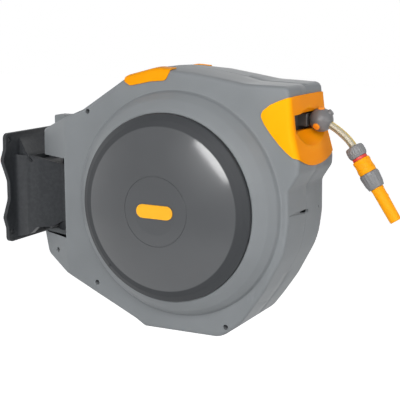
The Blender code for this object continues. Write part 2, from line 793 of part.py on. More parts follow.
def make_axle_and_inlet():
    """The fixed axle, bored from the far end as the water's way in, and the stem screwed into it."""
    profile = [
        (0.0, HUB_OUTER_Y),
        (AXLE_R - 0.001, HUB_OUTER_Y),
        (AXLE_R, HUB_OUTER_Y - 0.001),
        (AXLE_R, -HUB_OUTER_Y + 0.001),
        (AXLE_R - 0.001, -HUB_OUTER_Y),
        (0.0, -HUB_OUTER_Y),
    ]
    axle = turned("drum_axle", profile, at_drum(0, 0, 0), (0, 1, 0), 16, closed=False)
    cut(axle, rod("axle_bore", at_drum(0, ELBOW_Y - 0.012, 0), at_drum(0, 0.15, 0), AXLE_BORE))
    cut(axle, rod("axle_port", at_drum(0.003, ELBOW_Y, 0), at_drum(0.03, ELBOW_Y, 0), 0.004, 12))
    as_part(axle, "nylon", REEL)
    tip = dome_y(0.0) + 0.011
    stem_profile = [
        (0.0100, tip),
        (0.0105, tip - 0.004),
        (0.0085, tip - 0.006),
        (0.0105, tip - 0.009),
        (0.0135, tip - 0.013),
        (0.0135, HUB_OUTER_Y + TOUCH),
        (AXLE_BORE - TOUCH, HUB_OUTER_Y + TOUCH),
        (AXLE_BORE - TOUCH, 0.0980),
        (0.0045, 0.0980),
        (0.0045, tip),
    ]
    stem = turned("inlet_stem", stem_profile, at_drum(0, 0, 0), (0, 1, 0), 12)
    as_part(stem, "nylon", REEL)


def make_drum():
    """The barrel, its two flanges with hubs, and the bushes that run on the axle."""
    half = HOSE_SPACE - TOUCH
    inner = BARREL_R - BARREL_T
    barrel_profile = [(BARREL_R, half), (BARREL_R, -half), (inner, -half), (inner, half)]
    barrel = turned("hose_drum", barrel_profile, at_drum(0, 0, 0), (0, 1, 0), 28)
    cut(barrel, rod("barrel_port", at_drum(0.08, ELBOW_Y, 0), at_drum(0.11, ELBOW_Y, 0), 0.0086, 16))
    as_part(barrel, "bracket_grey", DRUM)
    for name, side in (("left_flange", -1), ("right_flange", 1)):
        profile = [
            (FLANGE_R, HOSE_SPACE + FLANGE_T),
            (FLANGE_R, HOSE_SPACE),
            (0.0300, HOSE_SPACE),
            (0.0300, BUSH_INNER_Y),
            (HUB_BORE, BUSH_INNER_Y),
            (HUB_BORE, HOSE_SPACE + FLANGE_T),
        ]
        as_part(turned(name, profile, at_drum(0, 0, 0), (0, side, 0), 24), "bracket_grey", DRUM)
    end = GEAR_PLANE + GEAR_T
    for name, side in (("left_bush", -1), ("right_bush", 1)):
        profile = [(BUSH_R, end), (BUSH_R, BUSH_INNER_Y), (AXLE_R + RUN, BUSH_INNER_Y), (AXLE_R + RUN, end)]
        as_part(turned(name, profile, at_drum(0, 0, 0), (0, side, 0), 16), "nylon", DRUM)


def make_hose_on_drum():
    """The inner layers as one plain core, and the outer layer wound round it loop by loop."""
    inner = BARREL_R + LOOSE
    outer = WIND_R * math.cos(math.pi / WIND_STEPS) - HOSE_R - SLIDE
    half = HOSE_SPACE - TOUCH
    core = turned("hose_core", [(outer, half), (outer, -half), (inner, -half), (inner, half)],
                  at_drum(0, 0, 0), (0, 1, 0), 28)
    as_part(core, "hose_cream", DRUM)
    points = []
    for k in range(WIND_LOOPS * WIND_STEPS + 1):
        angle = 2 * math.pi * k / WIND_STEPS
        y = WIND_PITCH * (k / WIND_STEPS - WIND_LOOPS / 2)
        points.append(Vector(at_drum(WIND_R * math.sin(angle), y, WIND_R * math.cos(angle))))
    straight = Vector((2 * HOSE_R, WIND_PITCH * HOSE_R / (math.pi * WIND_R), 0))
    loops = tube("wound_hose", [points[0] - straight] + points + [points[-1] + straight], HOSE_R, 1)
    as_part(loops, "hose_cream", DRUM)
    print("gap between the hose's loops %.2f mm" % ((WIND_PITCH - 2 * HOSE_R) * 1000))


def make_ratchet_and_pawl():
    """The drum's tooth wheel, and the sprung pawl that holds it against winding in."""
    outline = []
    tooth = 360 / RATCHET_TEETH
    for k in range(RATCHET_TEETH):
        middle = (RATCHET_ROOT_R + RATCHET_R) / 2
        for part, radius in ((0.0, RATCHET_ROOT_R), (0.5, middle), (0.94, RATCHET_R)):
            angle = math.radians(93 + tooth * (k + part))
            outline.append((DRUM_X + radius * math.cos(angle), radius * math.sin(angle)))
    wheel = prism("ratchet_wheel", outline, "xz", -GEAR_PLANE - GEAR_T, -GEAR_PLANE)
    cut(wheel, rod("ratchet_bore", at_drum(0, -0.06, 0), at_drum(0, -0.10, 0), HUB_BORE, 24))
    as_part(wheel, "nylon", DRUM)
    pivot = Vector(PAWL_PIVOT)
    tip = Vector(PAWL_TIP)
    along = (tip - pivot).normalized()
    across = Vector((-along.y, along.x))
    lever = []
    for k in range(9):
        angle = math.pi * (0.5 + k / 8)
        lever.append(pivot + PAWL_BOSS_R * (math.cos(angle) * along + math.sin(angle) * across))
    lever.append(tip - across * 0.0012 - along * 0.006)
    lever.append(tip)
    lever.append(tip + across * 0.0035)
    pawl = prism("pawl", [(DRUM_X + p.x, p.y) for p in lever], "xz",
                 -GEAR_PLANE - GEAR_T + TOUCH, -GEAR_PLANE - TOUCH)
    x, z = PAWL_PIVOT
    cut(pawl, rod("pawl_bore", at_drum(x, -0.06, z), at_drum(x, -0.10, z), PAWL_PIN_R + TOUCH, 16))
    as_part(pawl, "steel", PAWL)
    pin = rod("pawl_pin", at_drum(x, -GEAR_PLANE - TOUCH, z), at_drum(x, -WEB_Y - WALL, z), PAWL_PIN_R, 16)
    as_part(pin, "steel", REEL)
    wire = 0.0006
    coil_r = 0.0046
    start_y = -0.0862
    coil_pitch = 0.0016
    points = [Vector(at_drum(x + 0.020, start_y, z + coil_r))]
    for k in range(31):
        angle = math.pi / 2 + 2 * math.pi * k / 12
        points.append(Vector(at_drum(x + coil_r * math.cos(angle), start_y - coil_pitch * k / 12,
                                     z + coil_r * math.sin(angle))))
    points.append(points[-1] + Vector((0.016, 0, 0)))
    as_part(tube("pawl_spring", points, wire, 0), "steel", REEL)


def make_power_spring():
    """The flat spiral spring in the barrel that winds the hose back in."""
    start = AXLE_R + 0.0020
    end = BARREL_R - BARREL_T - SPRING_STRIP / 2 - TOUCH
    steps = SPRING_TURNS * SPRING_STEPS
    outside = []
    inside = []
    for k in range(steps + 1):
        angle = 2 * math.pi * k / SPRING_STEPS
        radius = start + (end - start) * k / steps
        direction = Vector((math.cos(angle), math.sin(angle)))
        outside.append(direction * (radius + SPRING_STRIP / 2))
        inside.append(direction * (radius - SPRING_STRIP / 2))
    outline = [(DRUM_X + p.x, p.y) for p in outside + inside[::-1]]
    spring = prism("power_spring", outline, "xz", SPRING_Y - SPRING_W / 2, SPRING_Y + SPRING_W / 2)
    as_part(spring, "steel", DRUM)


def make_rotary_elbow():
    """The swivelling elbow that takes water from the axle through the barrel to the hose."""
    ring = rod("rotary_elbow", at_drum(0, ELBOW_Y - 0.011, 0), at_drum(0, ELBOW_Y + 0.011, 0), 0.020)
    fuse(ring, rod("elbow_spout", at_drum(0.014, ELBOW_Y, 0), at_drum(BARREL_R - SLIDE, ELBOW_Y, 0),
                   0.0080, 12))
    cut(ring, rod("elbow_bore", at_drum(0, ELBOW_Y - 0.02, 0), at_drum(0, ELBOW_Y + 0.02, 0), AXLE_R + RUN))
    cut(ring, rod("elbow_way", at_drum(0.010, ELBOW_Y, 0), at_drum(0.11, ELBOW_Y, 0), 0.0050, 12))
    as_part(ring, "brass", DRUM)


def pulley_rim():
    """The grooved rim that both pulleys share, running down its outer side."""
    top = GEAR_PLANE + GEAR_T
    return [
        (PULLEY_R + PULLEY_RIM, top),
        (PULLEY_R + PULLEY_RIM, top - PULLEY_RIM_T),
        (PULLEY_R, top - PULLEY_RIM_T),
        (PULLEY_R, GEAR_PLANE + PULLEY_RIM_T),
        (PULLEY_R + PULLEY_RIM, GEAR_PLANE + PULLEY_RIM_T),
        (PULLEY_R + PULLEY_RIM, GEAR_PLANE),
    ]


def make_traverse():
    """The pulleys, the belt between them, and the screw that moves the guide sideways."""
    top = GEAR_PLANE + GEAR_T
    profile = pulley_rim() + [(HUB_BORE, GEAR_PLANE), (HUB_BORE, top)]
    as_part(turned("drum_pulley", profile, at_drum(0, 0, 0), (0, 1, 0), 18), "nylon", DRUM)
    shaft = [(0.0, SCREW_END_Y), (SCREW_END_R, SCREW_END_Y), (SCREW_END_R, top)]
    shaft += pulley_rim()
    shaft += [(SCREW_R, GEAR_PLANE), (SCREW_R, -0.0850), (SCREW_END_R, -0.0850)]
    shaft += [(SCREW_END_R, -SCREW_END_Y), (0.0, -SCREW_END_Y)]
    screw = turned("traverse_screw", shaft, at_drum(SCREW_X, 0, SCREW_Z), (0, 1, 0), 14, closed=False)
    as_part(screw, "nylon", SCREW)
    heading = math.atan2(SCREW_Z, SCREW_X)
    middle = GEAR_PLANE + GEAR_T / 2
    loops = []
    for name, radius, wide in (("traverse_belt", PULLEY_R + TOUCH + BELT_T, BELT_W / 2),
                               ("belt_hollow", PULLEY_R + TOUCH, BELT_W)):
        outline = []
        for x, z, start in ((SCREW_X, SCREW_Z, heading - math.pi / 2), (0.0, 0.0, heading + math.pi / 2)):
            for k in range(13):
                angle = start + math.pi * k / 12
                outline.append((DRUM_X + x + radius * math.cos(angle), z + radius * math.sin(angle)))
        loops.append(prism(name, outline, "xz", middle - wide, middle + wide))
    cut(loops[0], loops[1])
    as_part(loops[0], "rubber", REEL)
    guide_rod = rod("guide_rod", at_drum(SCREW_X, -ROD_END_Y, ROD_Z), at_drum(SCREW_X, ROD_END_Y, ROD_Z),
                    ROD_R)
    as_part(guide_rod, "steel", REEL)


def make_guide():
    """The carriage: a shutter plate behind the window, a snout in it, a slider and a screw block."""
    plate = box("guide_carriage", at_drum(SHUTTER_X, GUIDE_Y - SHUTTER_HALF_W, 0.154),
                at_drum(SHUTTER_X + SHUTTER_T, GUIDE_Y + SHUTTER_HALF_W, 0.202))
    soften(plate, 0.0015, 1)
    snout = box("guide_snout", at_drum(SHUTTER_X + 0.003, GUIDE_Y - SNOUT_HALF_W, HOSE_TOP - SNOUT_HALF_H),
                at_drum(SNOUT_X, GUIDE_Y + SNOUT_HALF_W, HOSE_TOP + SNOUT_HALF_H))
    soften(snout, 0.003, 1)
    slider = box("guide_slider", at_drum(SCREW_X - 0.008, GUIDE_Y - 0.015, ROD_Z - 0.0085),
                 at_drum(SHUTTER_X + 0.003, GUIDE_Y + 0.015, ROD_Z + 0.008))
    block = box("guide_block", at_drum(SCREW_X - 0.011, GUIDE_Y - 0.014, SCREW_Z - 0.011),
                at_drum(SHUTTER_X + 0.003, GUIDE_Y + 0.014, HOSE_TOP - 0.010))
    fuse(plate, snout, slider, block)
    cut(plate, rod("guide_hose_bore", at_drum(0.18, GUIDE_Y, HOSE_TOP), at_drum(0.26, GUIDE_Y, HOSE_TOP),
                   HOSE_BORE))
    cut(plate, rod("guide_rod_bore", at_drum(SCREW_X, -0.1, ROD_Z), at_drum(SCREW_X, 0.1, ROD_Z),
                   ROD_R + RUN))
    cut(plate, rod("guide_screw_bore", at_drum(SCREW_X, -0.1, SCREW_Z), at_drum(SCREW_X, 0.1, SCREW_Z),
                   SCREW_R + RUN))
    top = HOSE_TOP - 0.0127
    cut(plate, rod("guide_follower_bore", at_drum(SCREW_X, GUIDE_Y, SCREW_Z),
                   at_drum(SCREW_X, GUIDE_Y, top + TOUCH), 0.0030 + TOUCH, 12))
    as_part(plate, "bracket_grey", GUIDE)
    follower = rod("screw_follower", at_drum(SCREW_X, GUIDE_Y, SCREW_Z + SCREW_R + RUN),
                   at_drum(SCREW_X, GUIDE_Y, top), 0.0030, 12)
    as_part(follower, "brass", GUIDE)
    lead = rod("hose_lead", at_drum(0.0, GUIDE_Y, HOSE_TOP), at_drum(BALL_X - 0.0045, GUIDE_Y, HOSE_TOP),
               HOSE_R)
    as_part(lead, "hose_cream", GUIDE)


def ordered_by_angle(outline, low, high):
    """The outline's points between two angles from the drum's axis, in order of angle."""
    angles = [math.degrees(math.atan2(z, x)) for x, z in outline]
    inside = [k for k, angle in enumerate(angles) if low <= angle <= high]
    inside.sort(key=lambda k: angles[k])
    return inside


def trim_skin(name, columns):
    """A skin that follows the casing's surface at a small gap, over some of its outline's points."""
    rings = rings_of(outer_section, grow=TRIM_GAP)
    near_to_far = [mirrored(ring) for ring in rings[:0:-1]] + rings
    shape = bmesh.new()
    rows = [[shape.verts.new(ring[k]) for k in columns] for ring in near_to_far]
    for first, second in zip(rows, rows[1:]):
        for k in range(len(columns) - 1):
            shape.faces.new((first[k], second[k], second[k + 1], first[k + 1]))
    skin = from_shape(shape, name)
    wall = skin.modifiers.new("Wall", "SOLIDIFY")
    wall.thickness = TRIM_T
    wall.offset = 1.0
    wall.use_even_offset = True
    return skin


def make_bezel():
    """The trim round the window: a skin over the nose joined to an inset block with the scoop."""
    skin = trim_skin("front_bezel", ordered_by_angle(casing_outline(), 10, 58))
    side_view = [
        (BEYOND, BEZEL_LOW - 0.010),
        (BEYOND, BEZEL_HIGH + 0.010),
        (0.2580, BEZEL_HIGH + 0.0015),
        (0.2470, BEZEL_HIGH - 0.0010),
        (0.2270, 0.2240),
        (0.2090, 0.2180),
        (0.1900, 0.2020),
        (0.1855, 0.1910),
        (0.1880, 0.1770),
        (0.1980, 0.1620),
        (0.2140, 0.1390),
        (0.2290, 0.1260),
        (0.2470, 0.1160),
        (0.2470, BEZEL_LOW - 0.010),
    ]
    keep_inside(skin, prism("bezel_side_view", [(DRUM_X + x, z) for x, z in side_view], "xz", -0.15, 0.15))
    front_view = [(0.12, BEZEL_HIGH), (-0.12, BEZEL_HIGH)]
    for k in range(17):
        y = -0.12 + 0.24 * k / 16
        front_view.append((y, BEZEL_LOW + BEZEL_SIDE_RISE * abs(y / 0.09) ** 2.2))
    keep_inside(skin, prism("bezel_front_view", front_view, "yz", DRUM_X + 0.10, DRUM_X + 0.35))
    inset = box("bezel_inset", at_drum(INSET_BACK, -INSET_HALF_W, INSET_LOW),
                at_drum(BEYOND, INSET_HALF_W, INSET_HIGH))
    keep_inside(inset, casing_body("bezel_limit", TRIM_GAP + TRIM_T / 2))
    fuse(skin, inset)
    cut(skin, rod("bezel_scoop", at_drum(SCOOP_X, -SCOOP_HALF_W, SCOOP_Z),
                  at_drum(SCOOP_X, SCOOP_HALF_W, SCOOP_Z), SCOOP_R, 48))
    cut(skin, box("bezel_window", at_drum(0.200, -WINDOW_HALF_W, WINDOW_LOW),
                  at_drum(BEYOND, WINDOW_HALF_W, WINDOW_HIGH)))
    as_part(skin, "trim_orange", REEL)


def make_grip():
    """The moulded grip plate over the casing's top, where the reel is carried."""
    skin = trim_skin("carry_grip", ordered_by_angle(casing_outline(), 78, 128))
    side_view = [
        (-0.0150, 0.3100),
        (-0.0160, 0.2710),
        (-0.0250, 0.2550),
        (-0.0600, 0.2520),
        (-0.0780, 0.2480),
        (-0.0970, 0.2440),
        (-0.1100, 0.2420),
        (-0.1240, 0.2500),
        (-0.1300, 0.3100),
    ]
    keep_inside(skin, prism("grip_side_view", [(DRUM_X + x, z) for x, z in side_view], "xz", -0.15, 0.15))
    as_part(skin, "trim_yellow", REEL)


def hose_tail_points():
    """The hose's way out of the ball, down in a soft bend and straight into the nut."""
    start = Vector(at_drum(BALL_X, GUIDE_Y, HOSE_TOP))
    end = Vector(at_drum(NUT_START[0], GUIDE_Y, NUT_START[1]))
    leave = Vector((math.cos(EXIT_DROOP), 0, -math.sin(EXIT_DROOP)))
    arrive = Vector((math.sin(TIP_LEAN), 0, -math.cos(TIP_LEAN)))
    bend = start + leave * (BALL_R + 0.0005)
    first = bend + leave * 0.012
    second = end - arrive * 0.020
    points = [start]
    for k in range(13):
        t = k / 12
        u = 1 - t
        points.append(bend * u ** 3 + first * (3 * u * u * t) + second * (3 * u * t * t) + end * t ** 3)
    for depth in (0.012, 0.024, HOSE_IN_NUT):
        points.append(end + arrive * depth)
    return points


def pad_direction(angle):
    """Where a pad looks from the ball's centre, by its angle round the hose."""
    turn = math.radians(angle)
    return Vector((-0.12, math.cos(turn), math.sin(turn))).normalized()


def make_ball():
    """The two-part stop clamped on the hose, its bores for the hose and its three soft pads."""
    centre = Vector(at_drum(BALL_X, GUIDE_Y, HOSE_TOP))
    leave = Vector((math.cos(EXIT_DROOP), 0, -math.sin(EXIT_DROOP)))
    for name, side, angles in (("ball_upper", 1, (90,)), ("ball_lower", -1, (210, 330))):
        half = ball(name, centre, BALL_R, 18)
        if side > 0:
            lug = rod("ball_lug", centre + Vector((0.010, 0, 0.008)), centre + Vector((0.0225, 0, 0.0180)),
                      0.0065, 10)
            fuse(half, lug)
        low = centre.z + TOUCH / 2 if side > 0 else centre.z - 0.1
        high = centre.z + 0.1 if side > 0 else centre.z - TOUCH / 2
        keep_inside(half, box(name + "_half", (0.5, -0.1, low), (0.9, 0.2, high)))
        way = [centre - Vector((0.05, 0, 0)), centre, centre + leave * 0.05]
        cut(half, tube(name + "_bore", way, HOSE_BORE + TOUCH, 3))
        for angle in angles:
            out = pad_direction(angle)
            cut(half, rod("%s_pocket_%d" % (name, angle), centre + out * (BALL_R - PAD_SINK),
                          centre + out * 0.05, PAD_R + TOUCH, 12))
        as_part(half, "bracket_grey", GUIDE)
    for index, angle in enumerate((90, 210, 330)):
        out = pad_direction(angle)
        pad = rod("ball_pad_%d" % (index + 1), centre + out * (BALL_R - PAD_SINK + TOUCH),
                  centre + out * (BALL_R + PAD_PROUD), PAD_R, 10)
        as_part(soften(pad, 0.0012, 1), "trim_orange", GUIDE)


def along_tip(name, profile, finish, pivot):
    """A piece turned about the hanging tip's axis: profile is (radius, distance from the nut's top)."""
    arrive = Vector((math.sin(TIP_LEAN), 0, -math.cos(TIP_LEAN)))
    centre = Vector(at_drum(NUT_START[0], GUIDE_Y, NUT_START[1]))
    piece = turned(name, [(r, -s) for r, s in profile], centre, -arrive, 16)
    return as_part(piece, finish, pivot)


def make_tip():
    """The nut, its red ring, the sliding sleeve, the collar and the nozzle, all on one axis."""
    as_part(tube("hose_tail", hose_tail_points(), HOSE_R, 2), "hose_cream", GUIDE)
    bore = HOSE_R + 0.0008
    along_tip("connector_nut", [
        (0.0125, 0.0), (0.0168, 0.0030), (0.0190, 0.0085), (0.0190, 0.0180), (0.0172, NUT_END),
        (bore, NUT_END), (bore, 0.0),
    ], "bracket_grey", GUIDE)
    along_tip("nut_ring", [
        (0.0158, NUT_END + TOUCH), (0.0158, RING_END), (bore, RING_END), (bore, NUT_END + TOUCH),
    ], "ring_red", GUIDE)
    sleeve_start = RING_END + TOUCH
    along_tip("connector_sleeve", [
        (0.0178, sleeve_start), (0.0188, 0.0345), (0.0190, 0.0520), (0.0183, SLEEVE_END),
        (0.0120, SLEEVE_END), (0.0120, 0.0440), (bore, 0.0440), (bore, sleeve_start + SLEEVE_SLIDE),
        (0.0162, sleeve_start + SLEEVE_SLIDE), (0.0162, sleeve_start),
    ], "trim_yellow", SLEEVE)
    along_tip("nozzle_collar", [
        (0.0120 - TOUCH, 0.0490), (0.0120 - TOUCH, SLEEVE_END + TOUCH), (0.0196, SLEEVE_END + TOUCH),
        (0.0206, 0.0665), (0.0190, 0.0850), (0.0165, COLLAR_END),
        (0.0123, COLLAR_END), (0.0123, 0.0800), (0.0050, 0.0800), (0.0050, 0.0490),
    ], "bracket_grey", GUIDE)
    along_tip("nozzle", [
        (0.0120, 0.0800 + TOUCH), (0.0120, COLLAR_END + TOUCH), (0.0136, COLLAR_END + TOUCH),
        (0.0128, 0.1350), (0.0120, NOZZLE_END),
        (0.0085, NOZZLE_END), (0.0040, 0.1600), (0.0040, 0.0800 + TOUCH),
    ], "trim_yellow", NOZZLE)


for old in list(bpy.data.objects):
    bpy.data.objects.remove(old)
PARTS = new_collection("retractable_hose_reel")
CUTTERS = new_collection("cutters")
REEL = empty_at("reel_swivel", (PIN_X, 0, 0))
DRUM = empty_at("drum_spin", (DRUM_X, 0, 0), REEL)
SCREW = empty_at("traverse_turn", at_drum(SCREW_X, 0, SCREW_Z), REEL)
PAWL = empty_at("pawl_swing", at_drum(PAWL_PIVOT[0], -GEAR_PLANE, PAWL_PIVOT[1]), REEL)
GUIDE = empty_at("guide_traverse", at_drum(SHUTTER_X, GUIDE_Y, HOSE_TOP), REEL)
SLEEVE = empty_at("connector_release", at_drum(NUT_START[0], GUIDE_Y, NUT_START[1]), GUIDE)
NOZZLE = empty_at("nozzle_twist", at_drum(NUT_START[0], GUIDE_Y, NUT_START[1]), GUIDE)
make_bracket()
casing_half("left_casing", -1)
casing_half("right_casing", 1)
make_casing_screws()
make_disc_cover("left_disc_cover", -1, 0.0)
make_disc_cover("right_disc_cover", 1, INLET_HOLE_R)
make_badge()
make_bearing_plate("left_bearing_plate", -1)
make_bearing_plate("right_bearing_plate", 1)
make_axle_and_inlet()
make_drum()
make_hose_on_drum()
make_power_spring()
make_rotary_elbow()
make_ratchet_and_pawl()
make_traverse()
make_guide()
make_bezel()
make_grip()
make_ball()
make_tip()
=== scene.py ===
"""The looks of a wall-mounted retractable hose reel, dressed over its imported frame.

Metres, +Z up.  The wall plate's back face is at x = 0 and the drum's axle lies along Y at x = 0.45.
"""
import math

import bmesh
import bpy
from mathutils import Matrix, Vector


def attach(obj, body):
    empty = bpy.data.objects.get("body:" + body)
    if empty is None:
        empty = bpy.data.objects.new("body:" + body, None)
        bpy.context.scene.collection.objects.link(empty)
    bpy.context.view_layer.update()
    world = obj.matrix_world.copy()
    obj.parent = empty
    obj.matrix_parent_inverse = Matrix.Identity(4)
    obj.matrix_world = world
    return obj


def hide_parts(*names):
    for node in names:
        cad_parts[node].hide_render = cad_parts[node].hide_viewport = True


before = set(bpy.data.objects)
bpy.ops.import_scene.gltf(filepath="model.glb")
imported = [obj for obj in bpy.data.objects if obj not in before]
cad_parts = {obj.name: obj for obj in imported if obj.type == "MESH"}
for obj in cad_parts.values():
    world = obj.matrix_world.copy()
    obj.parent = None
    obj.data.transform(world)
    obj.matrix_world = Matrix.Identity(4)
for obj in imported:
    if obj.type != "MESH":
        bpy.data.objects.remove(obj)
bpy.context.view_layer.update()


# Camera and studio
# The reel is seen from the left of its nose and a little from above, through a long lens.  A broad soft
# light stands before the disc, weaker ones stand round it, and a narrow strip shines in the dome.
DRUM = Vector((0.450, 0.0, 0.0))
CAMERA_TURN = 0.49300931
CAMERA_RISE = 0.18764088
CAMERA_DISTANCE = 2.15353
CAMERA_SHIFT = (0.003115, -0.006289)
FLOOR_DEPTH = 0.95


def set_camera():
    """The photograph's camera, turned and raised about the drum's middle."""
    turn, rise = CAMERA_TURN, CAMERA_RISE
    right = Vector((math.cos(turn), math.sin(turn), 0.0))
    up = Vector((-math.sin(turn) * math.sin(rise), math.cos(turn) * math.sin(rise), math.cos(rise)))
    back = right.cross(up)
    camera = bpy.data.objects.new("camera", bpy.data.cameras.new("camera"))
    bpy.context.scene.collection.objects.link(camera)
    camera.data.sensor_width = 36.0
    camera.data.lens = 90.0
    camera.data.clip_end = 50.0
    turned_to = Matrix((right, up, back)).transposed().to_4x4()
    where = DRUM + right * CAMERA_SHIFT[0] + up * CAMERA_SHIFT[1] + back * CAMERA_DISTANCE
    camera.matrix_world = Matrix.Translation(where) @ turned_to
    bpy.context.scene.camera = camera


def soft_light(name, where, power, width, height, slant=0.0):
    """A rectangular light that faces the drum, rolled by its slant in degrees."""
    lamp = bpy.data.lights.new(name, "AREA")
    lamp.shape = "RECTANGLE"
    lamp.size = width
    lamp.size_y = height
    lamp.energy = power
    made = bpy.data.objects.new(name, lamp)
    bpy.context.scene.collection.objects.link(made)
    made.location = where
    made.rotation_mode = "QUATERNION"
    aim = (DRUM - Vector(where)).to_track_quat("-Z", "Y")
    made.rotation_quaternion = aim @ Matrix.Rotation(math.radians(slant), 3, "Z").to_quaternion()


def seen_directly(tree):
    """One for what the camera, a mirror finish or glass sees straight on, and nought for other light."""
    path = tree.nodes.new("ShaderNodeLightPath")
    total = path.outputs["Is Camera Ray"]
    for label in ("Is Glossy Ray", "Is Transmission Ray"):
        add = tree.nodes.new("ShaderNodeMath")
        add.operation = "MAXIMUM"
        tree.links.new(total, add.inputs[0])
        tree.links.new(path.outputs[label], add.inputs[1])
        total = add.outputs[0]
    return total


def set_backdrop():
    """A white surround and floor for the camera, and a plain dim sky for the light on the reel."""
    world = bpy.data.worlds.new("studio")
    bpy.context.scene.world = world
    world.use_nodes = True
    tree = world.node_tree
    tree.nodes.clear()
    fill = tree.nodes.new("ShaderNodeBackground")
    fill.inputs["Color"].default_value = (0.93, 0.96, 1.0, 1.0)
    where = tree.nodes.new("ShaderNodeTexCoord")
    height = tree.nodes.new("ShaderNodeSeparateXYZ")
    ceiling = tree.nodes.new("ShaderNodeMapRange")
    for label, number in (("From Min", 0.1), ("From Max", 0.9), ("To Min", 0.42), ("To Max", 0.10)):
        ceiling.inputs[label].default_value = number
    tree.links.new(where.outputs["Generated"], height.inputs[0])
    tree.links.new(height.outputs["Z"], ceiling.inputs["Value"])
    tree.links.new(ceiling.outputs[0], fill.inputs["Strength"])
    white = tree.nodes.new("ShaderNodeBackground")
    white.inputs["Strength"].default_value = 1.0
    white.inputs["Color"].default_value = (1.0, 1.0, 1.0, 1.0)
    mix = tree.nodes.new("ShaderNodeMixShader")
    tree.links.new(seen_directly(tree), mix.inputs["Fac"])
    tree.links.new(fill.outputs[0], mix.inputs[1])
    tree.links.new(white.outputs[0], mix.inputs[2])
    out = tree.nodes.new("ShaderNodeOutputWorld")
    tree.links.new(mix.outputs[0], out.inputs["Surface"])
    bpy.ops.mesh.primitive_plane_add(size=30.0, location=(0.45, 0.0, -FLOOR_DEPTH))
    floor = bpy.context.object
    floor.name = "floor"
    paint = bpy.data.materials.new("floor_white")
    paint.use_nodes = True
    tree = paint.node_tree
    shader = tree.nodes["Principled BSDF"]
    shader.inputs["Base Color"].default_value = (0.7, 0.7, 0.7, 1.0)
    shader.inputs["Roughness"].default_value = 0.9
    glow = tree.nodes.new("ShaderNodeEmission")
    glow.inputs["Strength"].default_value = 0.85
    both = tree.nodes.new("ShaderNodeAddShader")
    choose = tree.nodes.new("ShaderNodeMixShader")
    tree.links.new(seen_directly(tree), choose.inputs["Fac"])
    tree.links.new(shader.outputs[0], both.inputs[0])
    tree.links.new(glow.outputs[0], both.inputs[1])
    tree.links.new(shader.outputs[0], choose.inputs[1])
    tree.links.new(both.outputs[0], choose.inputs[2])
    tree.links.new(choose.outputs[0], tree.nodes["Material Output"].inputs["Surface"])
    floor.data.materials.append(paint)


set_camera()
set_backdrop()
soft_light("front_light", (1.30, -2.20, 1.20), 42.0, 1.8, 1.3)
soft_light("left_light", (-2.90, -0.70, 0.50), 20.0, 1.4, 1.6)
soft_light("top_light", (0.60, 0.30, 2.40), 0.8, 1.8, 1.4)
soft_light("nose_light", (2.70, -0.70, 0.40), 15.0, 1.4, 1.4)
soft_light("back_light", (0.00, 2.50, 1.00), 7.0, 1.6, 1.2)
soft_light("strip_light", (0.467, -2.27, 0.594), 13.0, 1.00, 0.24, -45.0)
bpy.context.scene.view_settings.view_transform = "Standard"


# Hose
# Half-inch PVC hose, 16 mm outside: a clear cream skin over braided yarn, with a yellow stripe.
# Its free end comes out of the ball stop, droops in one soft bend and goes into the connector's nut.
HOSE_R = 0.008
GUIDE_Y = 0.036
HOSE_TOP = 0.177
BALL = DRUM + Vector((0.264, GUIDE_Y, HOSE_TOP))
BALL_R = 0.0245
NUT_TOP = DRUM + Vector((0.333, GUIDE_Y, 0.127))
EXIT_DROOP = math.radians(26.0)
TIP_LEAN = math.radians(33.0)
LEAVE = Vector((math.cos(EXIT_DROOP), 0.0, -math.sin(EXIT_DROOP)))
TIP_WAY = Vector((math.sin(TIP_LEAN), 0.0, -math.cos(TIP_LEAN)))
HOSE_IN_NUT = 0.038
YARNS_PER_M = 95.0
YARNS_ROUND = 6.0
WIND_R = 0.1605
WIND_PITCH = 0.0166
WIND_LOOPS = 8
SMOOTH_BELOW = math.radians(35.0)


def new_piece(name, shape):
    """A new object from a bmesh, shaded smooth except where its faces meet sharply."""
    bmesh.ops.recalc_face_normals(shape, faces=shape.faces)
    mesh = bpy.data.meshes.new(name)
    shape.to_mesh(mesh)
    shape.free()
    mesh.shade_smooth()
    mesh.set_sharp_from_angle(angle=SMOOTH_BELOW)
    made = bpy.data.objects.new(name, mesh)
    bpy.context.scene.collection.objects.link(made)
    return made


def hung_on(piece, body, finish, slot, *nodes):
    """Gives a piece its finish, lets it ride on its body and stand for the nodes it replaces."""
    piece.data.materials.clear()
    piece.data.materials.append(finish)
    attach(piece, body)
    if nodes:
        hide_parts(*nodes)
    return piece


def hose_along(name, points, sides):
    """A hose swept along points, which keeps how far along and how far round each of its points is."""
    shape = bmesh.new()
    along_mark = shape.verts.layers.float.new("along")
    round_mark = shape.verts.layers.float.new("around")
    ahead = (points[1] - points[0]).normalized()
    side = ahead.orthogonal().normalized()
    up = Vector((0, 0, 1)) - ahead * ahead.z
    if up.length > 0.1:
        side = up.normalized()
    travelled = 0.0
    rings = []
    for k, point in enumerate(points):
        before = points[max(k - 1, 0)]
        after = points[min(k + 1, len(points) - 1)]
        heading = (after - before).normalized()
        side = (side - heading * side.dot(heading)).normalized()
        across = heading.cross(side)
        if k:
            travelled += (point - points[k - 1]).length
        ring = []
        for j in range(sides):
            angle = 2 * math.pi * j / sides
            vert = shape.verts.new(point + HOSE_R * (side * math.cos(angle) + across * math.sin(angle)))
            vert[along_mark] = travelled
            vert[round_mark] = abs(2.0 * j / sides - 1.0)
            ring.append(vert)
        rings.append(ring)
    for first, second in zip(rings, rings[1:]):
        for j in range(sides):
            shape.faces.new((first[j], first[(j + 1) % sides], second[(j + 1) % sides], second[j]))
    shape.faces.new(rings[0][::-1])
    shape.faces.new(rings[-1])
    return new_piece(name, shape)


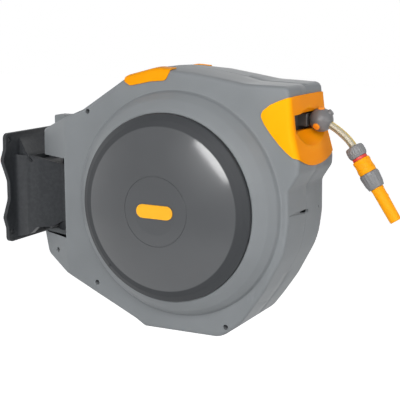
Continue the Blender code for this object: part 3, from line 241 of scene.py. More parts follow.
def hose_tail_points():
    """The hose's way out of the ball, down in a soft bend and straight into the nut."""
    bend = BALL + LEAVE * (BALL_R + 0.0005)
    first = bend + LEAVE * 0.012
    second = NUT_TOP - TIP_WAY * 0.020
    points = [BALL.copy(), BALL + LEAVE * 0.5 * BALL_R]
    for k in range(25):
        t = k / 24
        u = 1 - t
        points.append(bend * u ** 3 + first * (3 * u * u * t) + second * (3 * u * t * t) + NUT_TOP * t ** 3)
    for depth in (0.012, 0.024, HOSE_IN_NUT):
        points.append(NUT_TOP + TIP_WAY * depth)
    return points


def hose_finish():
    """Cream PVC with the yarn's crossing threads showing under the skin, one yellow stripe, and a dark line
    along each side as painted shade at the hose's edges.
    """
    made = bpy.data.materials.new("hose_pvc")
    made.use_nodes = True
    tree = made.node_tree
    nodes, links = tree.nodes, tree.links
    shader = nodes["Principled BSDF"]

    def step(operation, one, two=None, three=None):
        node = nodes.new("ShaderNodeMath")
        node.operation = operation
        for socket, value in zip(node.inputs, (one, two, three)):
            if value is None:
                continue
            if isinstance(value, (int, float)):
                socket.default_value = value
            else:
                links.new(value, socket)
        return node.outputs[0]

    along = nodes.new("ShaderNodeAttribute")
    along.attribute_name = "along"
    around = nodes.new("ShaderNodeAttribute")
    around.attribute_name = "around"
    turns = step("MULTIPLY", along.outputs["Fac"], YARNS_PER_M)
    round_the = step("MULTIPLY", around.outputs["Fac"], YARNS_ROUND)
    threads = None
    for way in (1.0, -1.0):
        wave = step("SINE", step("MULTIPLY", step("MULTIPLY_ADD", round_the, way, turns), 2 * math.pi))
        thread = step("SMOOTH_MIN", step("MAXIMUM", step("MULTIPLY_ADD", wave, 2.4, -1.4), 0.0), 1.0, 0.2)
        threads = thread if threads is None else step("MAXIMUM", threads, thread)
    stripe = step("GREATER_THAN", around.outputs["Fac"], 0.86)
    # Painted shade: a thin dark line runs along each side of the hose, standing in for the shade at its
    # edges.
    painted_edge_shade = step("COMPARE", around.outputs["Fac"], 0.42, 0.045)
    tone = nodes.new("ShaderNodeTexNoise")
    tone.inputs["Scale"].default_value = 60.0
    coloured = None
    for colour, mask in (((0.46, 0.41, 0.29), threads), ((0.62, 0.42, 0.05), stripe),
                         ((0.17, 0.16, 0.11), painted_edge_shade)):
        mix = nodes.new("ShaderNodeMix")
        mix.data_type = "RGBA"
        if coloured is None:
            mix.inputs["A"].default_value = (0.36, 0.32, 0.22, 1.0)
        else:
            links.new(coloured, mix.inputs["A"])
        mix.inputs["B"].default_value = (*colour, 1.0)
        links.new(mask, mix.inputs["Factor"])
        coloured = mix.outputs["Result"]
    links.new(coloured, shader.inputs["Base Color"])
    links.new(step("MULTIPLY_ADD", tone.outputs[0], 0.12, 0.28), shader.inputs["Roughness"])
    shader.inputs["Coat Weight"].default_value = 0.3
    shader.inputs["Coat Roughness"].default_value = 0.15
    shader.inputs["Subsurface Weight"].default_value = 0.12
    shader.inputs["Subsurface Radius"].default_value = (0.004, 0.003, 0.002)
    bump = nodes.new("ShaderNodeBump")
    bump.inputs["Strength"].default_value = 0.35
    bump.inputs["Distance"].default_value = 0.0002
    links.new(threads, bump.inputs["Height"])
    links.new(bump.outputs[0], shader.inputs["Normal"])
    return made


HOSE_PVC = hose_finish()
way_out = hose_tail_points()
free_hose = hose_along("free_hose", way_out, 40)
hung_on(free_hose, "guide", HOSE_PVC, "hose_cream", "hose_tail")


# Casing halves
# Two shells of grey polypropylene, 3 mm thick and moulded with a fine grain, that meet at a seam over
# the middle and are screwed together from the left.  Each has a round boss with its disc's seat.
WALL = 0.003
CASE_HALF_W = 0.0945
CROWN = 0.004
NOSE_X = 0.2705
NOSE_TOP = 0.2505
FRONT_X = 0.2490
CROWN_TOP = 0.2775
FOOT_BOTTOM = -0.2745
TAIL_X = -0.371
TAIL_TAPER_X = -0.280
TAIL_TAPER = 0.444
NOSE_DRAW = 0.006
CORNER_R = 0.0095
ROOT_R = 0.2310
BOSS_FOOT_R = 0.2355
LIP_R = 0.1968
BOSS_HALF_W = 0.1425
DISC_R = 0.1935
DISC_GAP = 0.0007
SEAT_Y = 0.1369
SEAT_INNER_R = 0.178
SEAM = 0.00015
NOTCH_FRONT = -0.284
NOTCH_HIGH = 0.076
NOTCH_LOW = -0.102
PIN_X = -0.335
CAP_TOP = 0.162
OPENING_HALF_W = 0.0821
OPENING_LOW = 0.1114
OPENING_HIGH = 0.2206
SCREW_PLACES = [(-0.202, -0.193), (-0.318, -0.136), (-0.219, 0.183), (0.114, -0.248)]
WELL_R = 0.0055
WELL_FLOOR = 0.020
SHANK_HOLE_R = 0.0024
CASE_CORNERS = [
    (0.2430, NOSE_TOP, 0.014),
    (0.1500, NOSE_TOP + 0.0035, 0.100),
    (0.0350, NOSE_TOP + 0.0210, 0.100),
    (-0.0500, CROWN_TOP, 0.070),
    (-0.1180, CROWN_TOP - 0.0175, 0.030),
    (-0.2345, 0.1855, 0.012),
    (TAIL_X + 0.0060, 0.1330, 0.008),
    (TAIL_X, -0.1050, 0.010),
    (TAIL_X + 0.0130, -0.1500, 0.020),
    (-0.1050, -0.2635, 0.016),
    (-0.0830, FOOT_BOTTOM - 0.0020, 0.008),
    (0.1000, FOOT_BOTTOM + 0.0010, 0.050),
    (0.1420, -0.2430, 0.060),
    (0.1660, -0.2110, 0.060),
    (0.1985, -0.1630, 0.100),
    (0.2420, -0.0800, 0.160),
    (FRONT_X + 0.0005, -0.0200, 0.100),
    (FRONT_X - 0.0005, 0.0480, 0.020),
    (NOSE_X - 0.0010, 0.0810, 0.016),
    (NOSE_X, 0.1010, 0.020),
    (0.2525, 0.1650, 0.140),
]


def arc_at(before, corner, after, radius, pieces):
    """A round arc in place of a sharp corner, as points from the one side of it to the other."""
    into = before - corner
    out = after - corner
    bend = math.pi - into.angle(out)
    reach = max(radius * math.tan(bend / 2), 0.0004)
    start = corner + into.normalized() * min(reach, into.length * 0.49)
    end = corner + out.normalized() * min(reach, out.length * 0.49)
    pull = math.cos(bend / 2)
    points = []
    for k in range(pieces + 1):
        t = k / pieces
        shares = ((1 - t) ** 2, 2 * pull * t * (1 - t), t * t)
        points.append((start * shares[0] + corner * shares[1] + end * shares[2]) / sum(shares))
    return points


def softened(corners, closed=True, pieces=None, step_angle=6.0, longest=None):
    """A line through (u, v, radius) corners, rounded, with its straights parted where they are long."""
    spots = [Vector((corner[0], corner[1])) for corner in corners]
    line = []
    for i, corner in enumerate(corners):
        if corner[2] == 0.0 or (not closed and i in (0, len(corners) - 1)):
            line.append(spots[i])
            continue
        before, after = spots[i - 1], spots[(i + 1) % len(spots)]
        bend = 180.0 - math.degrees((before - spots[i]).angle(after - spots[i]))
        count = pieces or max(2, math.ceil(bend / step_angle))
        line.extend(arc_at(before, spots[i], after, corner[2], count))
    if longest is None:
        return [tuple(point) for point in line]
    parted = []
    for k, point in enumerate(line):
        following = line[(k + 1) % len(line)]
        count = max(1, math.ceil((following - point).length / longest))
        parted.extend(tuple(point.lerp(following, j / count)) for j in range(count))
    return parted


def share(value, start, end):
    """How far value has gone from start to end, held between 0 and 1."""
    return min(1.0, max(0.0, (value - start) / (end - start)))


def half_width_at(x, z):
    """How far the casing's flat side stands from the seam: the tail and the nose's top draw in."""
    tail = max(0.0, TAIL_TAPER_X - x) * TAIL_TAPER
    nose = NOSE_DRAW * share(x, 0.17, 0.23) * share(z, 0.12, 0.22)
    return CASE_HALF_W - tail - nose


CASE_LINE = softened(CASE_CORNERS, longest=0.012)


def side_line(x, z):
    """The casing's outside at one place of its outline, as (radius, height) from the seam to the boss."""
    reach = math.hypot(x, z)

    def width(radius):
        return half_width_at(x * radius / reach, z * radius / reach)

    crown = CROWN * share(x, 0.15, 0.10) * share(z, -0.25, -0.22)
    wide = width(reach)
    edge = reach - CORNER_R
    foot = min(BOSS_FOOT_R, edge - 0.001)
    crease = foot + 0.45 * (edge - foot)
    if x < TAIL_TAPER_X:
        crease = min(max(reach * TAIL_TAPER_X / x, foot + 0.004), edge - 0.004)
    halfway = crease + 0.6 * (edge - crease)
    corners = [
        (reach + crown - 0.0006, SEAM, 0.0),
        (reach + crown, 0.0010, 0.0),
        (reach + crown * 0.93, wide * 0.30, 0.0),
        (reach + crown * 0.75, wide * 0.55, 0.0),
        (reach + crown * 0.36, wide * 0.78, 0.0),
        (reach, wide, CORNER_R),
        (halfway, width(halfway), 0.0),
        (crease, width(crease), 0.030),
        (foot, CASE_HALF_W, 0.0),
    ]
    return softened(corners, closed=False, pieces=6)


def boss_line(foot):
    """The boss from its foot up to the lip, down to the disc's seat, and back inside to the side wall."""
    outer = [
        (foot + 0.004, CASE_HALF_W, 0.0),
        (foot, CASE_HALF_W, 0.006),
        (0.2325, 0.1055, 0.020),
        (0.2200, 0.1232, 0.030),
        (0.2050, 0.1366, 0.020),
        (LIP_R, BOSS_HALF_W, 0.0012),
        (DISC_R + DISC_GAP, BOSS_HALF_W - 0.0003, 0.0005),
        (DISC_R + DISC_GAP, SEAT_Y, 0.0),
    ]
    inner = [
        (SEAT_INNER_R, SEAT_Y),
        (SEAT_INNER_R, SEAT_Y - WALL),
        (0.2020, SEAT_Y - WALL),
        (0.2267, 0.1031),
        (ROOT_R, CASE_HALF_W - WALL),
    ]
    return softened(outer, closed=False, pieces=5)[1:] + inner


def inside_line(x, z):
    """The inside of the wall, from the boss back to the seam."""
    reach = math.hypot(x, z)
    outside = side_line(x, z)
    crown = outside[1][0] - reach
    wide = half_width_at(x, z)
    return [
        (reach - CORNER_R - 0.0005, wide - WALL),
        (reach - WALL, wide - 0.0100),
        (reach + crown * 0.75 - WALL, wide * 0.55),
        (reach + crown - WALL, SEAM),
    ]


def casing_shell(name, side):
    """One half of the case, skinned over sections that stand all round its outline."""
    columns = []
    for x, z in CASE_LINE:
        reach = math.hypot(x, z)
        outside = side_line(x, z)
        section = outside[:-1] + boss_line(outside[-1][0]) + inside_line(x, z)
        columns.append([DRUM + Vector((x * r / reach, side * y, z * r / reach)) for r, y in section])
    return skin_of(name, columns, True, True)


def skin_of(name, rows, round_rows=False, round_points=False):
    """A mesh over rows of points, closed round its rows and along each of them as asked."""
    shape = bmesh.new()
    verts = [[shape.verts.new(point) for point in row] for row in rows]
    for i in range(len(verts) - (0 if round_rows else 1)):
        here, after = verts[i], verts[(i + 1) % len(verts)]
        for k in range(len(here) - (0 if round_points else 1)):
            m = (k + 1) % len(here)
            shape.faces.new((here[k], here[m], after[m], after[k]))
    return new_piece(name, shape)


def block(name, low, high, bevel=0.0):
    """A box between two corners measured from the drum's axis, with rounded edges if asked."""
    shape = bmesh.new()
    bmesh.ops.create_cube(shape, size=1.0)
    bmesh.ops.scale(shape, vec=Vector(high) - Vector(low), verts=shape.verts)
    bmesh.ops.translate(shape, vec=DRUM + (Vector(high) + Vector(low)) / 2, verts=shape.verts)
    if bevel:
        bmesh.ops.bevel(shape, geom=shape.edges[:], offset=bevel, segments=4, profile=0.5, affect="EDGES")
    return new_piece(name, shape)


def slab(name, outline, plane, low, high):
    """A flat outline measured from the drum's axis, given a thickness along its plane's third axis."""
    axes = {"xz": (0, 2, 1), "xy": (0, 1, 2), "yz": (1, 2, 0)}[plane]
    shape = bmesh.new()
    rows = []
    for height in (low, high):
        row = []
        for u, v in outline:
            where = [0.0, 0.0, 0.0]
            for axis, value in zip(axes, (u, v, height)):
                where[axis] = value
            row.append(shape.verts.new(DRUM + Vector(where)))
        rows.append(row)
    shape.faces.new(rows[0])
    shape.faces.new(rows[1][::-1])
    for k in range(len(outline)):
        m = (k + 1) % len(outline)
        shape.faces.new((rows[0][k], rows[1][k], rows[1][m], rows[0][m]))
    return new_piece(name, shape)


def round_bar(name, start, end, first, last, sides=24):
    """A round bar or taper between two points measured from the drum's axis."""
    start, end = DRUM + Vector(start), DRUM + Vector(end)
    along = end - start
    shape = bmesh.new()
    bmesh.ops.create_cone(shape, cap_ends=True, segments=sides, radius1=first, radius2=last,
                          depth=along.length)
    turn = along.to_track_quat("Z", "Y").to_matrix().to_4x4()
    bmesh.ops.transform(shape, matrix=Matrix.Translation((start + end) / 2) @ turn, verts=shape.verts)
    return new_piece(name, shape)


def joined(piece, *others):
    """Adds the other shapes' meshes to a piece."""
    shape = bmesh.new()
    shape.from_mesh(piece.data)
    for other in others:
        shape.from_mesh(other.data)
        bpy.data.objects.remove(other)
    shape.to_mesh(piece.data)
    shape.free()
    return piece


def carved(piece, *steps, bevel=0.0):
    """Cuts, keeps or unites the other shapes for good, then rounds the sharp edges if asked."""
    for operation, other in steps:
        step = piece.modifiers.new(other.name, "BOOLEAN")
        step.operation = operation
        step.object = other
        step.solver = "EXACT"
    if bevel:
        step = piece.modifiers.new("edges", "BEVEL")
        step.width = bevel
        step.segments = 2
        step.limit_method = "ANGLE"
        step.angle_limit = math.radians(45)
    bpy.context.view_layer.update()
    mesh = bpy.data.meshes.new_from_object(piece.evaluated_get(bpy.context.evaluated_depsgraph_get()))
    piece.modifiers.clear()
    piece.data = mesh
    mesh.shade_smooth()
    mesh.set_sharp_from_angle(angle=SMOOTH_BELOW)
    for _, other in steps:
        bpy.data.objects.remove(other)
    return piece


def grain_group():
    """Moulded plastic: slow changes of tone and gloss, a fine grain, and paler plastic on worn edges."""
    group = bpy.data.node_groups.new("moulded_grain", "ShaderNodeTree")
    for label, kind in (("Colour", "NodeSocketColor"), ("Worn colour", "NodeSocketColor"),
                        ("Grain", "NodeSocketFloat"), ("Roughness", "NodeSocketFloat"),
                        ("Wear", "NodeSocketFloat")):
        group.interface.new_socket(label, in_out="INPUT", socket_type=kind)
    for label, kind in (("Colour", "NodeSocketColor"), ("Roughness", "NodeSocketFloat"),
                        ("Height", "NodeSocketFloat")):
        group.interface.new_socket(label, in_out="OUTPUT", socket_type=kind)
    nodes, links = group.nodes, group.links
    given = nodes.new("NodeGroupInput")
    result = nodes.new("NodeGroupOutput")
    where = nodes.new("ShaderNodeTexCoord")

    def noise(scale, detail):
        node = nodes.new("ShaderNodeTexNoise")
        node.inputs["Detail"].default_value = detail
        links.new(where.outputs["Object"], node.inputs["Vector"])
        if isinstance(scale, float):
            node.inputs["Scale"].default_value = scale
        else:
            links.new(scale, node.inputs["Scale"])
        return node.outputs[0]

    def ranged(value, low, high, to_low, to_high):
        node = nodes.new("ShaderNodeMapRange")
        links.new(value, node.inputs["Value"])
        for label, number in (("From Min", low), ("From Max", high), ("To Min", to_low), ("To Max", to_high)):
            node.inputs[label].default_value = number
        return node.outputs[0]

    def maths(operation, one, two):
        node = nodes.new("ShaderNodeMath")
        node.operation = operation
        links.new(one, node.inputs[0])
        links.new(two, node.inputs[1])
        return node.outputs[0]

    slow = noise(9.0, 2.0)
    fine = noise(given.outputs["Grain"], 3.0)
    tone = nodes.new("ShaderNodeVectorMath")
    tone.operation = "SCALE"
    links.new(given.outputs["Colour"], tone.inputs[0])
    links.new(ranged(slow, 0.3, 0.7, 0.95, 1.05), tone.inputs["Scale"])
    shape = nodes.new("ShaderNodeNewGeometry")
    edges = ranged(shape.outputs["Pointiness"], 0.52, 0.60, 0.0, 1.0)
    patches = ranged(noise(120.0, 4.0), 0.40, 0.65, 0.2, 1.0)
    wear = maths("MULTIPLY", maths("MULTIPLY", edges, patches), given.outputs["Wear"])
    mix = nodes.new("ShaderNodeMix")
    mix.data_type = "RGBA"
    links.new(wear, mix.inputs["Factor"])
    links.new(tone.outputs[0], mix.inputs["A"])
    links.new(given.outputs["Worn colour"], mix.inputs["B"])
    gloss = maths("ADD", given.outputs["Roughness"], ranged(fine, 0.3, 0.7, -0.05, 0.05))
    gloss = maths("ADD", gloss, ranged(slow, 0.3, 0.7, -0.03, 0.03))
    links.new(mix.outputs["Result"], result.inputs["Colour"])
    links.new(gloss, result.inputs["Roughness"])
    links.new(fine, result.inputs["Height"])
    return group


MOULDED_GRAIN = grain_group()


def plastic(name, colour, roughness, grain, depth, wear, specular=0.5):
    """A moulded plastic in one colour, with the grain, gloss and wear that its own moulding has."""
    made = bpy.data.materials.new(name)
    made.use_nodes = True
    nodes, links = made.node_tree.nodes, made.node_tree.links
    shader = nodes["Principled BSDF"]
    skin = nodes.new("ShaderNodeGroup")
    skin.node_tree = MOULDED_GRAIN
    skin.name = "skin"
    worn = [min(1.0, channel * 1.35 + 0.02) for channel in colour]
    skin.inputs["Colour"].default_value = (*colour, 1.0)
    skin.inputs["Worn colour"].default_value = (*worn, 1.0)
    skin.inputs["Grain"].default_value = grain
    skin.inputs["Roughness"].default_value = roughness
    skin.inputs["Wear"].default_value = wear
    bump = nodes.new("ShaderNodeBump")
    bump.inputs["Strength"].default_value = 0.5
    bump.inputs["Distance"].default_value = depth
    shader.inputs["Specular IOR Level"].default_value = specular
    links.new(skin.outputs["Colour"], shader.inputs["Base Color"])
    links.new(skin.outputs["Roughness"], shader.inputs["Roughness"])
    links.new(skin.outputs["Height"], bump.inputs["Height"])
    links.new(bump.outputs[0], shader.inputs["Normal"])
    return made


def notch_walls(name, side):
    """The plates that close the casing above, below and in front of the notch for the bracket's arm."""
    walls = []
    for label, tail, low, high in (("roof", -0.3645, NOTCH_HIGH, NOTCH_HIGH + WALL),
                                   ("ledge", -0.3685, NOTCH_LOW - WALL, NOTCH_LOW)):
        outline = [(tail, SEAM), (NOTCH_FRONT + WALL, SEAM), (NOTCH_FRONT + WALL, CASE_HALF_W - 0.0012),
                   (tail + 0.0080, half_width_at(tail + 0.0080, 0.0) - 0.0012),
                   (tail, half_width_at(tail, 0.0) - 0.0080)]
        walls.append(slab(name + label, [(x, side * y) for x, y in outline], "xy", low, high))
    ends = sorted((side * SEAM, side * (CASE_HALF_W - 0.0010)))
    walls.append(block(name + "front", (NOTCH_FRONT, ends[0], NOTCH_LOW),
                       (NOTCH_FRONT + WALL, ends[1], NOTCH_HIGH)))
    return walls


def pin_cap(name, side):
    """One half of the rounded cap over the swivel pin's head."""
    shape = bmesh.new()
    bmesh.ops.create_cube(shape, size=1.0)
    bmesh.ops.scale(shape, vec=(0.056, 0.040, 0.050), verts=shape.verts)
    bmesh.ops.translate(shape, vec=DRUM + Vector((PIN_X, 0.0, CAP_TOP - 0.025)), verts=shape.verts)
    bmesh.ops.bevel(shape, geom=shape.edges[:], offset=0.004, segments=4, profile=0.5, affect="EDGES")
    cut = bmesh.ops.bisect_plane(shape, geom=shape.verts[:] + shape.edges[:] + shape.faces[:],
                                 plane_co=(0.0, side * SEAM, 0.0), plane_no=(0.0, -side, 0.0),
                                 clear_outer=True)
    bmesh.ops.holes_fill(shape, edges=[e for e in cut["geom_cut"] if isinstance(e, bmesh.types.BMEdge)])
    return new_piece(name, shape)


def casing_cutters(name, side):
    """The notch, the window's opening, and the marks moulded into the front."""
    marks = [
        ("groove", (FRONT_X + 0.0004, -0.086, -0.0020), (FRONT_X + 0.0012, 0.002, -0.0068), 0.0014, 0.0048),
        ("hole", (FRONT_X - 0.0100, 0.006, -0.0070), (FRONT_X + 0.0100, 0.006, -0.0070), 0.0040, 0.0040),
        ("dot", (FRONT_X - 0.0100, 0.066, -0.0080), (FRONT_X + 0.0100, 0.066, -0.0080), 0.0022, 0.0022),
        ("mark", (0.1816, -0.079, -0.1915), (0.1665, 0.024, -0.2140), 0.0030, 0.0022),
    ]
    if side < 0:
        marks += [("well_%d" % index, (x, -0.20, z), (x, -WELL_FLOOR, z), WELL_R, WELL_R)
                  for index, (x, z) in enumerate(SCREW_PLACES)]
    cutters = [
        block(name + "notch", (-0.50, -0.20, NOTCH_LOW), (NOTCH_FRONT, 0.20, NOTCH_HIGH)),
        block(name + "opening", (0.215, -OPENING_HALF_W, OPENING_LOW), (0.300, OPENING_HALF_W, OPENING_HIGH)),
    ]
    cutters += [round_bar(name + label, *bar) for label, *bar in marks]
    return [("DIFFERENCE", cutter) for cutter in cutters]


def well_tubes(name):
    """The walls round the screw wells, from under the side wall down to the floor that a head sits on."""
    tubes = []
    outside, under = WELL_R + 0.0012, WELL_FLOOR - 0.002
    for index, (x, z) in enumerate(SCREW_PLACES):
        top = half_width_at(x, z) - 0.0036
        outline = [(outside, top), (outside, under), (SHANK_HOLE_R, under), (SHANK_HOLE_R, WELL_FLOOR),
                   (WELL_R, WELL_FLOOR), (WELL_R, top)]
        tubes.append(turned("%s%d" % (name, index), outline, DRUM + Vector((x, 0.0, z)), (0, -1, 0), 32))
    return tubes


def turned(name, profile, centre, axis, steps, closed=True, swell=None):
    """A turned shape from (radius, height) pairs; swell changes the radius by angle and height."""
    turn = Vector(axis).to_track_quat("Z", "X").to_matrix()
    shape = bmesh.new()
    rows = []
    for radius, height in profile:
        if radius < 0.00001:
            rows.append([shape.verts.new(centre + turn @ Vector((0.0, 0.0, height)))] * steps)
            continue
        row = []
        for k in range(steps):
            angle = 2 * math.pi * k / steps
            reach = radius + (swell(angle, radius, height) if swell else 0.0)
            spot = Vector((reach * math.cos(angle), reach * math.sin(angle), height))
            row.append(shape.verts.new(centre + turn @ spot))
        rows.append(row)
    pairs = list(zip(rows, rows[1:])) + ([(rows[-1], rows[0])] if closed else [])
    for first, second in pairs:
        for k in range(steps):
            m = (k + 1) % steps
            corners = [first[k], first[m], second[m], second[k]]
            corners = [corner for i, corner in enumerate(corners) if corner not in corners[:i]]
            if len(corners) > 2:
                shape.faces.new(corners)
    return new_piece(name, shape)


CASING_GREY = plastic("casing_plastic", (0.198, 0.210, 0.218), 0.50,
                      grain=1300.0, depth=0.00006, wear=0.25, specular=0.25)
for name, side, node in (("left_shell", -1, "left_casing"), ("right_shell", 1, "right_casing")):
    shell = casing_shell(name, side)
    carved(shell, *casing_cutters(name + "_", side), bevel=0.0008)
    extras = notch_walls(name + "_", side) + [pin_cap(name + "_cap", side)]
    if side < 0:
        extras += well_tubes(name + "_tube_")
    joined(shell, *extras)
    hung_on(shell, "reel", CASING_GREY, "casing_grey", node)


# Casing screws
# Four zinc-plated pan-head screws with a cross recess, driven from the left down their moulded wells
# into the right shell's posts.
SCREW_HEAD_R = 0.0042
SCREW_HEAD_T = 0.003
SHANK_R = 0.002
RECESS_REACH = 0.0022
RECESS_HALF_W = 0.0005
TOUCH = 0.0003


def metal(name, colour, roughness, scratch_scale):
    """A plain metal with fine drawn scratches and a few duller patches."""
    made = bpy.data.materials.new(name)
    made.use_nodes = True
    nodes, links = made.node_tree.nodes, made.node_tree.links
    shader = nodes["Principled BSDF"]
    shader.inputs["Metallic"].default_value = 1.0
    where = nodes.new("ShaderNodeTexCoord")
    stretch = nodes.new("ShaderNodeMapping")
    stretch.inputs["Scale"].default_value = (scratch_scale, scratch_scale, scratch_scale * 0.08)
    scratches = nodes.new("ShaderNodeTexNoise")
    scratches.inputs["Scale"].default_value = 40.0
    patches = nodes.new("ShaderNodeTexNoise")
    patches.inputs["Scale"].default_value = 160.0
    tone = nodes.new("ShaderNodeValToRGB")
    tone.color_ramp.elements[0].color = (*[0.75 * channel for channel in colour], 1.0)
    tone.color_ramp.elements[1].color = (*colour, 1.0)
    gloss = nodes.new("ShaderNodeMapRange")
    gloss.inputs["To Min"].default_value = roughness - 0.08
    gloss.inputs["To Max"].default_value = roughness + 0.14
    bump = nodes.new("ShaderNodeBump")
    bump.inputs["Strength"].default_value = 0.2
    bump.inputs["Distance"].default_value = 0.00003
    links.new(where.outputs["Object"], stretch.inputs["Vector"])
    links.new(stretch.outputs[0], scratches.inputs["Vector"])
    links.new(where.outputs["Object"], patches.inputs["Vector"])
    links.new(patches.outputs[0], tone.inputs["Fac"])
    links.new(tone.outputs["Color"], shader.inputs["Base Color"])
    links.new(scratches.outputs[0], gloss.inputs["Value"])
    links.new(gloss.outputs[0], shader.inputs["Roughness"])
    links.new(scratches.outputs[0], bump.inputs["Height"])
    links.new(bump.outputs[0], shader.inputs["Normal"])
    return made


ZINC = metal("zinc_plate", (0.56, 0.57, 0.58), 0.30, 8.0)
for index, (x, z) in enumerate(SCREW_PLACES):
    low = WELL_FLOOR + TOUCH
    top = low + SCREW_HEAD_T
    outline = [
        (0.0, top, 0.0),
        (SCREW_HEAD_R * 0.6, top - 0.0002, 0.002),
        (SCREW_HEAD_R, top - 0.0016, 0.0012),
        (SCREW_HEAD_R, low, 0.0),
        (SHANK_R, low, 0.0),
        (SHANK_R, -0.018, 0.0),
        (0.0, -0.0195, 0.0),
    ]
    line = softened(outline, closed=False, pieces=4)
    name = "case_screw_%d" % (index + 1)
    head = turned(name, line, DRUM + Vector((x, 0.0, z)), (0, -1, 0), 32, closed=False)
    recess = [block(name + label, (x - wide, -top - 0.001, z - tall), (x + wide, -top + 0.0012, z + tall))
              for label, wide, tall in (("_slot_a", RECESS_HALF_W, RECESS_REACH),
                                        ("_slot_b", RECESS_REACH, RECESS_HALF_W))]
    carved(head, *[("DIFFERENCE", cut) for cut in recess])
    hung_on(head, "reel", ZINC, "steel", "casing_screw_%d" % (index + 1))


# Disc covers
# A dished cover of dark glossy ABS snaps into each boss.  It has a bevelled edge, a shallow dome with
# one fine ring moulded in it, and a flat middle that carries a bare pill-shaped plate on the left.
PLATEAU_R = 0.168
PLATEAU_Y = 0.162
DOME_RISE = 0.025
DISC_EDGE = 0.150
COVER_T = 0.0025
CENTRE_FLAT_R = 0.048
RING_GROOVE_R = 0.0715
INLET_HOLE_R = 0.0160
BEVEL_MARK = math.radians(226.0)
BEVEL_MARK_R = 0.1805
DISC_STEPS = 160
BADGE_END_R = 0.0140
BADGE_END_X = 0.0275


def dome_y(radius):
    """How far the cover's dome stands from the seam at a distance from its middle."""
    return PLATEAU_Y + DOME_RISE * (1 - (radius / PLATEAU_R) ** 2)


def disc_line(hole):
    """The cover's section from its middle out over the dome, down its edge and back inside."""
    corners = [(hole, dome_y(CENTRE_FLAT_R), 0.0), (CENTRE_FLAT_R, dome_y(CENTRE_FLAT_R), 0.004)]
    corners += [(radius, dome_y(radius), 0.0) for radius in (0.054, 0.061, 0.067)]
    for step, depth in ((-0.0012, 0.0), (-0.0007, 0.0008), (0.0007, 0.0008), (0.0012, 0.0)):
        radius = RING_GROOVE_R + step
        corners.append((radius, dome_y(radius) - depth, 0.0))
    corners += [(0.005 * k, dome_y(0.005 * k), 0.0) for k in range(16, 33)]
    corners += [
        (PLATEAU_R, PLATEAU_Y, 0.010),
        (0.1810, 0.1580, 0.012),
        (DISC_R - 0.0012, DISC_EDGE + 0.0008, 0.0010),
        (DISC_R, DISC_EDGE - 0.0015, 0.0010),
        (DISC_R, SEAT_Y + 0.0030, 0.0),
        (DISC_R - COVER_T, SEAT_Y + 0.0030, 0.0),
        (DISC_R - COVER_T, DISC_EDGE - 0.0020, 0.0),
        (PLATEAU_R - 0.0005, PLATEAU_Y - COVER_T, 0.0),
        (0.1400, dome_y(0.1400) - COVER_T, 0.0),
        (0.1000, dome_y(0.1000) - COVER_T, 0.0),
        (CENTRE_FLAT_R, dome_y(CENTRE_FLAT_R) - COVER_T, 0.0),
        (hole, dome_y(CENTRE_FLAT_R) - COVER_T, 0.0),
    ]
    return softened(corners, closed=False, pieces=6)


def disc_finish():
    """Dark ABS: polished on the dome, and duller on the bevelled band round it, whose colour is darkened
    there as painted shade for its steeper slope.
    """
    made = plastic("disc_abs", (0.042, 0.045, 0.049), 0.36, grain=1900.0, depth=0.00002, wear=0.15,
                   specular=0.3)
    nodes, links = made.node_tree.nodes, made.node_tree.links
    shader = nodes["Principled BSDF"]
    shader.inputs["Coat Roughness"].default_value = 0.12
    skin = nodes["skin"]
    where = nodes.new("ShaderNodeTexCoord")
    flat = nodes.new("ShaderNodeVectorMath")
    flat.operation = "MULTIPLY_ADD"
    flat.inputs[1].default_value = (1.0, 0.0, 1.0)
    flat.inputs[2].default_value = (-DRUM.x, 0.0, -DRUM.z)
    reach = nodes.new("ShaderNodeVectorMath")
    reach.operation = "LENGTH"
    # Painted shade: past the plateau's edge the colour turns darker, standing in for the shade on the steeper
    # bevelled band; the band is also duller and has no coat.
    band = nodes.new("ShaderNodeMapRange")
    band.inputs["From Min"].default_value = PLATEAU_R - 0.0004
    band.inputs["From Max"].default_value = PLATEAU_R + 0.0016
    painted_band_shade = nodes.new("ShaderNodeMix")
    painted_band_shade.data_type = "RGBA"
    painted_band_shade.inputs["B"].default_value = (0.026, 0.028, 0.031, 1.0)
    links.new(where.outputs["Object"], flat.inputs[0])
    links.new(flat.outputs[0], reach.inputs[0])
    links.new(reach.outputs["Value"], band.inputs["Value"])
    links.new(band.outputs[0], painted_band_shade.inputs["Factor"])
    links.new(skin.outputs["Colour"], painted_band_shade.inputs["A"])
    links.new(painted_band_shade.outputs["Result"], shader.inputs["Base Color"])
    polish = nodes.new("ShaderNodeMapRange")
    polish.inputs["To Min"].default_value = 0.8
    polish.inputs["To Max"].default_value = 0.0
    links.new(band.outputs[0], polish.inputs["Value"])
    links.new(polish.outputs[0], shader.inputs["Coat Weight"])
    dull = nodes.new("ShaderNodeMath")
    dull.operation = "MULTIPLY_ADD"
    dull.inputs[1].default_value = 0.22
    links.new(band.outputs[0], dull.inputs[0])
    links.new(skin.outputs["Roughness"], dull.inputs[2])
    links.new(dull.outputs[0], shader.inputs["Roughness"])
    return made


def pill(inset):
    """The pill-shaped outline of the badge plate, drawn in by the inset."""
    radius = BADGE_END_R - inset
    line = []
    for middle, start in ((BADGE_END_X, -0.5), (-BADGE_END_X, 0.5)):
        for k in range(25):
            angle = math.pi * (start + k / 24)
            line.append((middle + radius * math.cos(angle), radius * math.sin(angle)))
    return line


